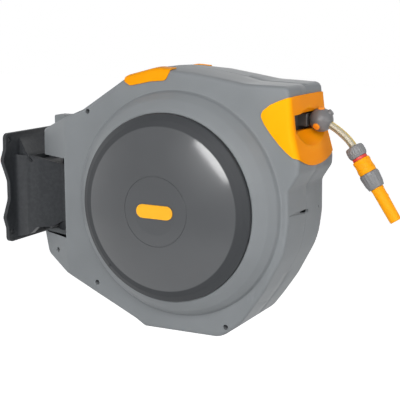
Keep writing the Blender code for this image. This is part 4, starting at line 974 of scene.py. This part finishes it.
DISC_ABS = disc_finish()
for name, side, node, hole in (("left_disc", -1, "left_disc_cover", 0.0),
                               ("right_disc", 1, "right_disc_cover", INLET_HOLE_R)):
    cover = turned(name, disc_line(hole), DRUM, (0, side, 0), DISC_STEPS, closed=hole > 0)
    if side < 0:
        spot = Vector((BEVEL_MARK_R * math.cos(BEVEL_MARK), 0.0, BEVEL_MARK_R * math.sin(BEVEL_MARK)))
        dent = round_bar("disc_dent", spot - Vector((0, 0.1568, 0)), spot - Vector((0, 0.1700, 0)),
                         0.0030, 0.0045)
        carved(cover, ("DIFFERENCE", dent))
    hung_on(cover, "reel", DISC_ABS, "disc_grey", node)

BADGE_SEAT = dome_y(CENTRE_FLAT_R) + TOUCH
BADGE_YELLOW = plastic("badge_plate_plastic", (0.88, 0.42, 0.020), 0.38,
                       grain=2200.0, depth=0.00002, wear=0.2, specular=0.25)
rows = []
for inset, height in ((0.0006, 0.0), (0.0, 0.0004), (0.0, 0.0017), (0.0002, 0.0022), (0.0007, 0.0025),
                      (0.0016, 0.0025), (0.0019, 0.0023), (0.0021, 0.0019), (0.0024, 0.0018),
                      (0.0060, 0.0018), (0.0100, 0.0018), (0.0125, 0.0018)):
    rows.append([DRUM + Vector((x, -BADGE_SEAT - height, z)) for x, z in pill(inset)])
badge = skin_of("bare_badge", rows, False, True)
shape = bmesh.new()
shape.from_mesh(badge.data)
bmesh.ops.holes_fill(shape, edges=[edge for edge in shape.edges if edge.is_boundary])
shape.to_mesh(badge.data)
shape.free()
hung_on(badge, "reel", BADGE_YELLOW, "trim_yellow", "badge_plate")


# Wall bracket
# One dark moulding of glass-filled nylon, screwed flat to the wall at its four corners.  Its hollow arm
# carries the knuckle that the steel pin drops through, so that the reel can swing from side to side.
WALL_BACK = -0.450
PLATE_T = 0.009
PLATE_TOP = 0.1220
PLATE_BOTTOM = -0.1285
PLATE_HALF_W = 0.097
ARM_HALF_W = 0.034
KNUCKLE_TOP = 0.053
KNUCKLE_BOTTOM = -0.080
KNUCKLE_R = 0.034
SWING_X = 0.115
SWING_AT = WALL_BACK + SWING_X
PIN_BORE_R = 0.0063
PLATE_HOLE_R = 0.0035
PLATE_HOLE_Y = 0.083
PLATE_HOLE_Z = 0.106
ARM_LINE = [(0.002, 0.072), (0.002, -0.124), (0.030, -0.1165), (0.046, -0.1000), (0.086, -0.0960),
            (SWING_X, KNUCKLE_BOTTOM), (SWING_X, KNUCKLE_TOP)]
ARM_PLAN = [(0.001, 0.076, 0.0), (0.0100, 0.060, 0.012), (0.0300, 0.046, 0.030), (0.060, 0.038, 0.0),
            (SWING_X + 0.001, ARM_HALF_W, 0.0)]
COLLAR_R = 0.030
THRUST_R = 0.016
GUSSET = [(0.002, 0.060), (0.002, PLATE_TOP - 0.004), (0.012, 0.100), (0.024, 0.078), (0.040, 0.058)]
EAR_LINE = [
    (PLATE_HALF_W, PLATE_TOP, 0.012),
    (PLATE_HALF_W + 0.001, 0.086, 0.010),
    (0.109, 0.062, 0.012),
    (0.088, 0.012, 0.030),
    (0.088, -0.030, 0.030),
    (0.106, -0.070, 0.012),
    (PLATE_HALF_W, -0.096, 0.010),
    (PLATE_HALF_W, PLATE_BOTTOM, 0.012),
]


def from_wall(points):
    """The points, with their first measure taken from the wall."""
    return [(WALL_BACK + x, other) for x, other in points]


far_side = [(-y, z, radius) for y, z, radius in EAR_LINE]
plate_line = softened(far_side + EAR_LINE[::-1], step_angle=8.0)
bracket = slab("wall_mount", plate_line, "yz", WALL_BACK, WALL_BACK + PLATE_T)
field = slab("plate_field", [(y * 0.953, z * 0.962) for y, z in plate_line], "yz",
             WALL_BACK + PLATE_T - 0.0015, WALL_BACK + PLATE_T + 0.010)
arm = slab("mount_arm", from_wall(ARM_LINE), "xz", -0.10, 0.10)
half_plan = softened(ARM_PLAN, closed=False, pieces=5)
plan = slab("mount_plan", from_wall(half_plan + [(x, -y) for x, y in half_plan[::-1]]), "xy", -0.2, 0.2)
carved(arm, ("INTERSECT", plan))
gussets = joined(slab("gusset_a", from_wall(GUSSET), "xz", -0.048, -0.044),
                 slab("gusset_b", from_wall(GUSSET), "xz", 0.044, 0.048))
shoulder = slab("shoulder", from_wall([(x + 0.0015, z - 0.0042) for x, z in GUSSET]), "xz", -0.046, 0.046)
upright = [round_bar(name, (SWING_AT, 0, low), (SWING_AT, 0, high), radius, radius, sides)
           for name, low, high, radius, sides in (("knuckle", KNUCKLE_BOTTOM, KNUCKLE_TOP, KNUCKLE_R, 64),
                                                  ("thrust", 0.030, NOTCH_HIGH - TOUCH, THRUST_R, 48),
                                                  ("collar", NOTCH_LOW + 0.0015, KNUCKLE_BOTTOM + 0.004,
                                                   COLLAR_R, 64))]
pockets = joined(
    block("top_pocket", (WALL_BACK + 0.034, -0.029, 0.056), (SWING_AT - KNUCKLE_R, 0.029, 0.1)),
    block("low_pocket", (WALL_BACK + 0.014, -0.029, -0.2), (SWING_AT - KNUCKLE_R, 0.029, 0.024)))
holes = [round_bar("pin_bore", (SWING_AT, 0, -0.1), (SWING_AT, 0, 0.1), PIN_BORE_R, PIN_BORE_R, 32)]
sinks = []
for across in (-PLATE_HOLE_Y, PLATE_HOLE_Y):
    for high in (-PLATE_HOLE_Z, PLATE_HOLE_Z):
        room_end = (WALL_BACK + 0.03, across, high)
        holes.append(round_bar("screw_hole", (WALL_BACK - 0.02, across, high), room_end,
                               PLATE_HOLE_R, PLATE_HOLE_R, 32))
        sinks.append(round_bar("screw_sink", (WALL_BACK + PLATE_T - 0.0035, across, high), room_end,
                               0.0064, 0.0080, 32))
carved(bracket, ("DIFFERENCE", field), *[("UNION", made) for made in (arm, shoulder, gussets, *upright)],
       *[("DIFFERENCE", made) for made in (pockets, joined(*holes), joined(*sinks))], bevel=0.0012)
NYLON_DARK = plastic("bracket_nylon", (0.020, 0.022, 0.025), 0.50,
                     grain=900.0, depth=0.00006, wear=0.35, specular=0.3)
hung_on(bracket, "bracket", NYLON_DARK, "bracket_grey", "wall_bracket")


# Window bezel and carrying grip
# Two thin mouldings of bright polypropylene lie over both shells.  The bezel wraps the nose and dips
# inward all round the window.  The grip's two inserts lie in the top's edges, where a hand takes it.
TRIM_T = 0.002
TRIM_GAP = 0.0008
WINDOW_HALF_W = 0.076
WINDOW_LOW = 0.158
WINDOW_HIGH = 0.195
BEZEL_HIGH = 0.2325
BEZEL_LOW = 0.0915
BEZEL_HALF_W = 0.09
BEZEL_TOP_DROP = 0.0025
BEZEL_FOOT_RISE = 0.0195
INSET_HALF_W = 0.0815
SCOOP_MIDDLE = (0.290, 0.0, 0.171)
SCOOP_REACH = (0.053, 0.096, 0.047)
BEZEL_SIDE = [
    (0.3000, BEZEL_LOW - 0.010, 0.0), (0.3000, BEZEL_HIGH + 0.010, 0.0), (0.2580, BEZEL_HIGH + 0.0015, 0.0),
    (0.2470, BEZEL_HIGH - 0.0010, 0.010), (0.2270, 0.2240, 0.020), (0.2080, 0.2155, 0.014),
    (0.1920, 0.2025, 0.012), (0.1885, 0.1925, 0.010), (0.1960, 0.1770, 0.020), (0.2090, 0.1600, 0.040),
    (0.2280, 0.1390, 0.040), (0.2440, 0.1245, 0.030), (0.2620, 0.1120, 0.0), (0.2640, BEZEL_LOW - 0.010, 0.0),
]
GRIP_RETURN_Y = (-0.066, 0.088)
GRIP_SIDE = [
    (-0.0150, 0.3100, 0.0), (-0.0160, 0.2710, 0.004), (-0.0250, 0.2550, 0.012), (-0.0600, 0.2520, 0.050),
    (-0.0780, 0.2480, 0.020), (-0.0970, 0.2440, 0.020), (-0.1100, 0.2420, 0.010), (-0.1240, 0.2500, 0.008),
    (-0.1300, 0.3100, 0.0),
]


def trim_over(name, first_angle, last_angle):
    """A thin skin that follows both shells at a small gap, over part of the casing's outline."""
    spots = []
    for x, z in CASE_LINE:
        angle = math.degrees(math.atan2(z, x))
        if first_angle <= angle <= last_angle:
            spots.append((angle, x, z))
    rows = []
    for _, x, z in sorted(spots):
        reach = math.hypot(x, z)
        outside = side_line(x, z)[2:]
        crown = side_line(x, z)[1][0]
        section = [(radius, -y) for radius, y in outside[::-1]] + [(crown, 0.0)] + outside
        rows.append([DRUM + Vector((x * r / reach, y, z * r / reach)) for r, y in section])
    skin = skin_of(name, rows)
    shape = bmesh.new()
    shape.from_mesh(skin.data)
    bmesh.ops.recalc_face_normals(shape, faces=shape.faces)
    if sum(face.normal.dot(face.calc_center_median() - DRUM) for face in shape.faces) < 0:
        bmesh.ops.reverse_faces(shape, faces=shape.faces)
    shape.normal_update()
    shape.to_mesh(skin.data)
    shape.free()
    lift = skin.modifiers.new("gap", "DISPLACE")
    lift.strength = TRIM_GAP
    lift.mid_level = 0.0
    wall = skin.modifiers.new("wall", "SOLIDIFY")
    wall.thickness = TRIM_T
    wall.offset = 1.0
    wall.use_even_offset = True
    return carved(skin)


def grown_outline(by):
    """The casing's outline moved outward by the given distance."""
    line = [Vector(point) for point in CASE_LINE]
    grown = []
    for k, point in enumerate(line):
        way = (line[(k + 1) % len(line)] - line[k - 1]).normalized()
        out = Vector((way.y, -way.x))
        if out.dot(point) < 0:
            out = -out
        grown.append(tuple(point + out * by))
    return grown


def bezel_finish():
    """Bright plastic with painted light: orange on the nose's front and nearer to yellow on its two sides, as
    the sides catch more light.
    """
    made = plastic("bezel_plastic", (0.97, 0.36, 0.004), 0.42, grain=2000.0, depth=0.00002, wear=0.2,
                   specular=0.04)
    nodes, links = made.node_tree.nodes, made.node_tree.links
    # Painted light: the colour is mixed by how far each face's own normal looks sideways, yellower where the
    # sides catch more light.
    facing = nodes.new("ShaderNodeTexCoord")
    sideways = nodes.new("ShaderNodeSeparateXYZ")
    painted_light_mask = nodes.new("ShaderNodeMath")
    painted_light_mask.operation = "ABSOLUTE"
    painted_side_light = nodes.new("ShaderNodeMix")
    painted_side_light.data_type = "RGBA"
    painted_side_light.inputs["A"].default_value = (1.0, 0.310, 0.001, 1.0)
    painted_side_light.inputs["B"].default_value = (0.96, 0.420, 0.003, 1.0)
    links.new(facing.outputs["Normal"], sideways.inputs[0])
    links.new(sideways.outputs["Y"], painted_light_mask.inputs[0])
    links.new(painted_light_mask.outputs[0], painted_side_light.inputs["Factor"])
    links.new(painted_side_light.outputs["Result"], nodes["skin"].inputs["Colour"])
    return made


TRIM_ORANGE = bezel_finish()
TRIM_YELLOW = plastic("grip_plastic", (0.90, 0.33, 0.004), 0.42, grain=2000.0, depth=0.00003, wear=0.2,
                      specular=0.04)
bezel = trim_over("window_bezel", 10.0, 58.0)
side_view = slab("bezel_side", softened(BEZEL_SIDE), "xz", -0.15, 0.15)
crossing = [0.12 - 0.24 * k / 40 for k in range(41)]
front_line = [(y, BEZEL_HIGH - BEZEL_TOP_DROP * (y / BEZEL_HALF_W) ** 2) for y in crossing]
front_line += [(-y, BEZEL_LOW + BEZEL_FOOT_RISE * abs(y / BEZEL_HALF_W) ** 2.2) for y in crossing]
front_view = slab("bezel_front", front_line, "yz", 0.10, 0.35)
carved(bezel, ("INTERSECT", side_view), ("INTERSECT", front_view))
inset = block("bezel_inset", (0.228, -INSET_HALF_W, 0.112), (0.300, INSET_HALF_W, 0.220))
limit = slab("bezel_limit", grown_outline(TRIM_GAP + TRIM_T / 2), "xz", -0.12, 0.12)
carved(inset, ("INTERSECT", limit))
shape = bmesh.new()
bmesh.ops.create_uvsphere(shape, u_segments=128, v_segments=64, radius=1.0)
bmesh.ops.scale(shape, vec=SCOOP_REACH, verts=shape.verts)
bmesh.ops.translate(shape, vec=DRUM + Vector(SCOOP_MIDDLE), verts=shape.verts)
scoop = new_piece("bezel_scoop", shape)
window = block("bezel_window", (0.200, -WINDOW_HALF_W, WINDOW_LOW), (0.300, WINDOW_HALF_W, WINDOW_HIGH))
carved(bezel, ("UNION", inset), ("DIFFERENCE", scoop), ("DIFFERENCE", window), bevel=0.0007)
hung_on(bezel, "reel", TRIM_ORANGE, "trim_orange", "front_bezel")

grip = trim_over("top_grip", 78.0, 128.0)
between = block("grip_between", (-0.2, GRIP_RETURN_Y[0], 0.1), (0.1, GRIP_RETURN_Y[1], 0.4))
grip_side = slab("grip_side", softened(GRIP_SIDE), "xz", -0.15, 0.15)
carved(grip, ("INTERSECT", grip_side), ("DIFFERENCE", between), bevel=0.0007)
hung_on(grip, "reel", TRIM_YELLOW, "trim_yellow", "carry_grip")


# Hose guide
# The dark nylon carriage slides along a steel rod behind the window, driven by the turning screw through
# a brass follower.  Its shutter stands close behind the window and its snout leads the hose out.
SHUTTER_X = 0.212
SHUTTER_T = 0.008
SHUTTER_HALF_W = 0.044
SNOUT_X = 0.2407
SCREW_X = 0.203
SCREW_Z = 0.149
SCREW_BORE = 0.0074
ROD_BORE = 0.0044
FOLLOWER_BORE = 0.0033
ROD_Z = 0.2045
HOSE_BORE = HOSE_R + 0.0005
FOLLOWER_TOP = HOSE_TOP - 0.0127
LEAD_END = 0.2595
SHUTTER_DARK = plastic("shutter_nylon", (0.058, 0.056, 0.053), 0.45, grain=1100.0, depth=0.00005, wear=0.5)
carriage = block("hose_carriage", (SHUTTER_X, GUIDE_Y - SHUTTER_HALF_W, 0.154),
                 (SHUTTER_X + SHUTTER_T, GUIDE_Y + SHUTTER_HALF_W, 0.202))
snout = block("snout", (SHUTTER_X + 0.003, GUIDE_Y - 0.020, HOSE_TOP - 0.014),
              (SNOUT_X, GUIDE_Y + 0.020, HOSE_TOP + 0.014), 0.003)
slider = block("slider", (SCREW_X - 0.008, GUIDE_Y - 0.015, ROD_Z - 0.0085),
               (SHUTTER_X + 0.003, GUIDE_Y + 0.015, ROD_Z + 0.008))
screw_block = block("screw_block", (SCREW_X - 0.011, GUIDE_Y - 0.014, SCREW_Z - 0.011),
                    (SHUTTER_X + 0.003, GUIDE_Y + 0.014, HOSE_TOP - 0.010))
hose_bore = round_bar("hose_bore", (0.18, GUIDE_Y, HOSE_TOP), (0.26, GUIDE_Y, HOSE_TOP),
                      HOSE_BORE, HOSE_BORE, 64)
cross_bores = joined(
    round_bar("rod_bore", (SCREW_X, -0.1, ROD_Z), (SCREW_X, 0.1, ROD_Z), ROD_BORE, ROD_BORE, 32),
    round_bar("screw_bore", (SCREW_X, -0.1, SCREW_Z), (SCREW_X, 0.1, SCREW_Z), SCREW_BORE, SCREW_BORE, 32))
follower_bore = round_bar("follower_bore", (SCREW_X, GUIDE_Y, SCREW_Z),
                          (SCREW_X, GUIDE_Y, FOLLOWER_TOP + TOUCH), FOLLOWER_BORE, FOLLOWER_BORE)
carved(carriage, ("UNION", snout), ("UNION", slider), ("UNION", screw_block), ("DIFFERENCE", hose_bore),
       ("DIFFERENCE", cross_bores), ("DIFFERENCE", follower_bore), bevel=0.0006)
hung_on(carriage, "guide", SHUTTER_DARK, "bracket_grey", "guide_carriage")

lead_from = DRUM + Vector((0.0, GUIDE_Y, HOSE_TOP))
lead_to = DRUM + Vector((LEAD_END, GUIDE_Y, HOSE_TOP))
inner_lead = hose_along("lead_hose", [lead_from.lerp(lead_to, k / 12) for k in range(13)], 40)
hung_on(inner_lead, "guide", HOSE_PVC, "hose_cream", "hose_lead")


# Ball stop
# A grey ball of two nylon halves is clamped on the hose and stops it at the window.  Three soft orange
# pads sit in it, and a lug on the upper half takes the clamping screw.
PAD_R = 0.0072
PAD_SINK = 0.003
PAD_PROUD = 0.0017
PAD_TOP = 100
TOP_PAD_LEAN = 0.04
LOW_PADS = (210, 330)
LOW_PAD_LEAN = -0.12
BALL_BORE = HOSE_BORE + 0.0003
BALL_GREY = plastic("ball_nylon", (0.140, 0.138, 0.141), 0.42, grain=1500.0, depth=0.00004, wear=0.5)
PAD_ORANGE = plastic("pad_rubber", (0.95, 0.30, 0.010), 0.60, grain=1800.0, depth=0.00003, wear=0.1)
ball_centre = BALL - DRUM


def pad_way(angle):
    """The way out of the ball's middle through the pad at this angle round the hose."""
    turn = math.radians(angle)
    lean = TOP_PAD_LEAN if angle == PAD_TOP else LOW_PAD_LEAN
    return Vector((lean, math.cos(turn), math.sin(turn))).normalized()


for name, side, angles in (("ball_top_half", 1, (PAD_TOP,)), ("ball_low_half", -1, LOW_PADS)):
    line = [(BALL_R * math.sin(math.pi * k / 36), BALL_R * math.cos(math.pi * k / 36)) for k in range(37)]
    half = turned(name, line, BALL, (1, 0, 0), 72, closed=False)
    cuts = []
    if side > 0:
        lug = round_bar(name + "_lug", ball_centre + Vector((0.010, 0, 0.008)),
                        ball_centre + Vector((0.0215, 0, 0.0172)), 0.0085, 0.0068, 40)
        cuts.append(("UNION", lug))
    ends = (TOUCH / 2, 0.1) if side > 0 else (-0.1, -TOUCH / 2)
    cuts.append(("INTERSECT", block(name + "_space", ball_centre + Vector((-0.1, -0.1, ends[0])),
                                    ball_centre + Vector((0.1, 0.1, ends[1])))))
    for label, start, end in (("_in", ball_centre - Vector((0.05, 0, 0)), ball_centre),
                              ("_out", ball_centre, ball_centre + LEAVE * 0.05)):
        cuts.append(("DIFFERENCE", round_bar(name + label, start, end, BALL_BORE, BALL_BORE, 64)))
    for angle in angles:
        out = pad_way(angle)
        cuts.append(("DIFFERENCE", round_bar("%s_pocket_%d" % (name, angle),
                                             ball_centre + out * (BALL_R - PAD_SINK),
                                             ball_centre + out * 0.05, PAD_R + TOUCH, PAD_R + TOUCH, 48)))
    carved(half, *cuts, bevel=0.0005)
    hung_on(half, "guide", BALL_GREY, "bracket_grey", "ball_upper" if side > 0 else "ball_lower")
top, under = BALL_R + PAD_PROUD, BALL_R - PAD_SINK + TOUCH
line = softened([(0.0, top + 0.0004, 0.0), (PAD_R * 0.5, top + 0.0002, 0.010), (PAD_R, top - 0.0006, 0.0010),
                 (PAD_R, under, 0.0), (0.0, under, 0.0)], closed=False, pieces=5)
for index, angle in enumerate((PAD_TOP, *LOW_PADS)):
    pad = turned("soft_pad_%d" % (index + 1), line, BALL, pad_way(angle), 48, closed=False)
    hung_on(pad, "guide", PAD_ORANGE, "trim_orange", "ball_pad_%d" % (index + 1))


# Connector and nozzle
# The grey nut grips the hose on a red ring.  The ribbed yellow sleeve slides back to let the grey collar
# go, and the tapered yellow nozzle twists in the collar to open and shut its jet.
NUT_END = 0.0240
RING_END = 0.0303
SLEEVE_END = 0.0612
COLLAR_END = 0.0955
NOZZLE_END = 0.1720
TIP_BORE = HOSE_R + 0.0008
SLEEVE_MOUTH = 0.0349


def ribs(count, depth, start, end, least):
    """Round ribs between two heights, on the outside only."""
    def swell(angle, radius, height):
        if radius < least or not start <= height <= end:
            return 0.0
        return depth * (0.5 + 0.5 * math.cos(count * angle)) ** 2 - depth
    return swell


def on_tip(name, corners, finish, body, slot_name, node, swell=None):
    """A piece turned round the tip's line from (radius, distance from the nut's top, rounding)."""
    line = softened(corners, pieces=4, longest=0.0022)
    piece = turned(name, line, NUT_TOP, TIP_WAY, 144, swell=swell)
    return hung_on(piece, body, finish, slot_name, node)


CONNECTOR_GREY = plastic("connector_nylon", (0.185, 0.185, 0.188), 0.42,
                         grain=1500.0, depth=0.00004, wear=0.5)
TIP_YELLOW = plastic("tip_plastic", (0.97, 0.37, 0.005), 0.36, grain=2200.0, depth=0.00002, wear=0.25,
                     specular=0.12)
RING_RED = plastic("ring_rubber", (0.62, 0.045, 0.030), 0.40, grain=1800.0, depth=0.00002, wear=0.1)
grip_nut = on_tip("grip_nut", [
    (0.0132, 0.0, 0.001), (0.0176, 0.0014, 0.003), (0.0194, 0.0075, 0.004), (0.0194, 0.0180, 0.003),
    (0.0172, NUT_END, 0.0006), (TIP_BORE, NUT_END, 0.0), (TIP_BORE, 0.0, 0.0006),
], CONNECTOR_GREY, "guide", "bracket_grey", "connector_nut", ribs(24, 0.0006, 0.006, 0.0205, 0.0175))
red_ring = on_tip("red_ring", [
    (0.0158, NUT_END + TOUCH, 0.0006), (0.0158, RING_END, 0.0006), (TIP_BORE, RING_END, 0.0),
    (TIP_BORE, NUT_END + TOUCH, 0.0),
], RING_RED, "guide", "ring_red", "nut_ring")
slide_sleeve = on_tip("slide_sleeve", [
    (0.0178, RING_END + TOUCH, 0.0008), (0.0188, 0.0345, 0.002), (0.0178, 0.0400, 0.004),
    (0.0178, 0.0475, 0.004), (0.0190, 0.0535, 0.003), (0.0183, SLEEVE_END, 0.0008),
    (0.0120, SLEEVE_END, 0.0), (0.0120, 0.0440, 0.0), (TIP_BORE, 0.0440, 0.0),
    (TIP_BORE, SLEEVE_MOUTH + TOUCH, 0.0), (0.0162, SLEEVE_MOUTH + TOUCH, 0.0),
    (0.0162, RING_END + TOUCH, 0.0006),
], TIP_YELLOW, "sleeve", "trim_yellow", "connector_sleeve", ribs(36, 0.0004, 0.037, 0.051, 0.0170))
grey_collar = on_tip("grey_collar", [
    (0.0117, 0.0490, 0.0), (0.0117, SLEEVE_END + TOUCH, 0.0), (0.0196, SLEEVE_END + TOUCH, 0.0008),
    (0.0206, 0.0665, 0.003), (0.0190, 0.0850, 0.006), (0.0165, COLLAR_END, 0.0010),
    (0.0123, COLLAR_END, 0.0), (0.0123, 0.0800, 0.0), (0.0050, 0.0800, 0.0), (0.0050, 0.0490, 0.0),
], CONNECTOR_GREY, "guide", "bracket_grey", "nozzle_collar", ribs(18, 0.0007, 0.0640, 0.0860, 0.0172))
spray = on_tip("spray_nozzle", [
    (0.0120, 0.0803, 0.0), (0.0120, COLLAR_END + TOUCH, 0.0), (0.0136, COLLAR_END + TOUCH, 0.0008),
    (0.0134, 0.1000, 0.0008), (0.0129, 0.1006, 0.0), (0.0126, 0.1350, 0.0), (0.0121, 0.1695, 0.0010),
    (0.0108, NOZZLE_END, 0.0006), (0.0085, NOZZLE_END, 0.0005), (0.0040, 0.1600, 0.0), (0.0040, 0.0803, 0.0),
], TIP_YELLOW, "nozzle", "trim_yellow", "nozzle")
tip_up = Vector((math.cos(TIP_LEAN), 0.0, math.sin(TIP_LEAN)))
button_at = NUT_TOP + TIP_WAY * 0.1180 + tip_up * 0.0116
button_line = softened([(0.0, 0.0026, 0.0), (0.0026, 0.0024, 0.0012), (0.0036, 0.0004, 0.0010),
                        (0.0042, -0.0010, 0.0), (0.0, -0.0010, 0.0)], closed=False, pieces=4)
button = turned("nozzle_button", button_line, button_at, tip_up, 40, closed=False)
carved(spray, ("UNION", button))
hung_on(spray, "nozzle", TIP_YELLOW, "trim_yellow")


# Inside works
# The hose winds in even loops on a moulded drum that a flat steel spring pulls back.  A ratchet and pawl
# hold it, and a belt turns the screw that lays the loops side by side.
WIND_STEPS = 36
CORE_OUT = 0.1502
CORE_IN = 0.0955
CORE_HALF = 0.0752
CORE_ROWS = 9
ROW_STEPS = 5

winding = []
for k in range(WIND_LOOPS * WIND_STEPS + 1):
    angle = 2 * math.pi * k / WIND_STEPS
    across = WIND_PITCH * (k / WIND_STEPS - WIND_LOOPS / 2)
    winding.append(DRUM + Vector((WIND_R * math.sin(angle), across, WIND_R * math.cos(angle))))
straight = Vector((2 * HOSE_R, WIND_PITCH * HOSE_R / (math.pi * WIND_R), 0.0))
wound = hose_along("outer_winding", [winding[0] - straight] + winding + [winding[-1] + straight], 20)
hung_on(wound, "drum", HOSE_PVC, "hose_cream", "wound_hose")

layers = []
for across in range(CORE_ROWS):
    for k in range(ROW_STEPS + 1):
        angle = math.pi * (0.05 + 0.90 * k / ROW_STEPS)
        layers.append((CORE_OUT - HOSE_R + HOSE_R * math.sin(angle),
                       -CORE_HALF + 2 * CORE_HALF * (across + 0.5 - 0.5 * math.cos(angle)) / CORE_ROWS))
core = turned("inner_layers", layers + [(CORE_IN, CORE_HALF), (CORE_IN, -CORE_HALF)], DRUM, (0, 1, 0), 96)
hung_on(core, "drum", HOSE_PVC, "hose_cream", "hose_core")

ACETAL = plastic("acetal", (0.58, 0.57, 0.53), 0.40, grain=1200.0, depth=0.00003, wear=0.2)
BLACK_RUBBER = plastic("belt_rubber", (0.018, 0.018, 0.019), 0.68, grain=1600.0, depth=0.00005, wear=0.2)
SPRING_STEEL = metal("spring_steel", (0.42, 0.42, 0.44), 0.38, 14.0)
BRASS = metal("turned_brass", (0.72, 0.52, 0.22), 0.28, 10.0)
INNER_FINISHES = {
    "hinge_pin": ZINC, "pawl": ZINC, "pawl_pin": ZINC, "guide_rod": ZINC,
    "pawl_spring": SPRING_STEEL, "power_spring": SPRING_STEEL,
    "screw_follower": BRASS, "rotary_elbow": BRASS, "traverse_belt": BLACK_RUBBER,
    "hose_drum": NYLON_DARK, "left_flange": NYLON_DARK, "right_flange": NYLON_DARK,
    "left_bearing_plate": NYLON_DARK, "right_bearing_plate": NYLON_DARK,
}
for label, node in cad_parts.items():
    if node.hide_render:
        continue
    node.data.materials.clear()
    node.data.materials.append(INNER_FINISHES.get(label, ACETAL))
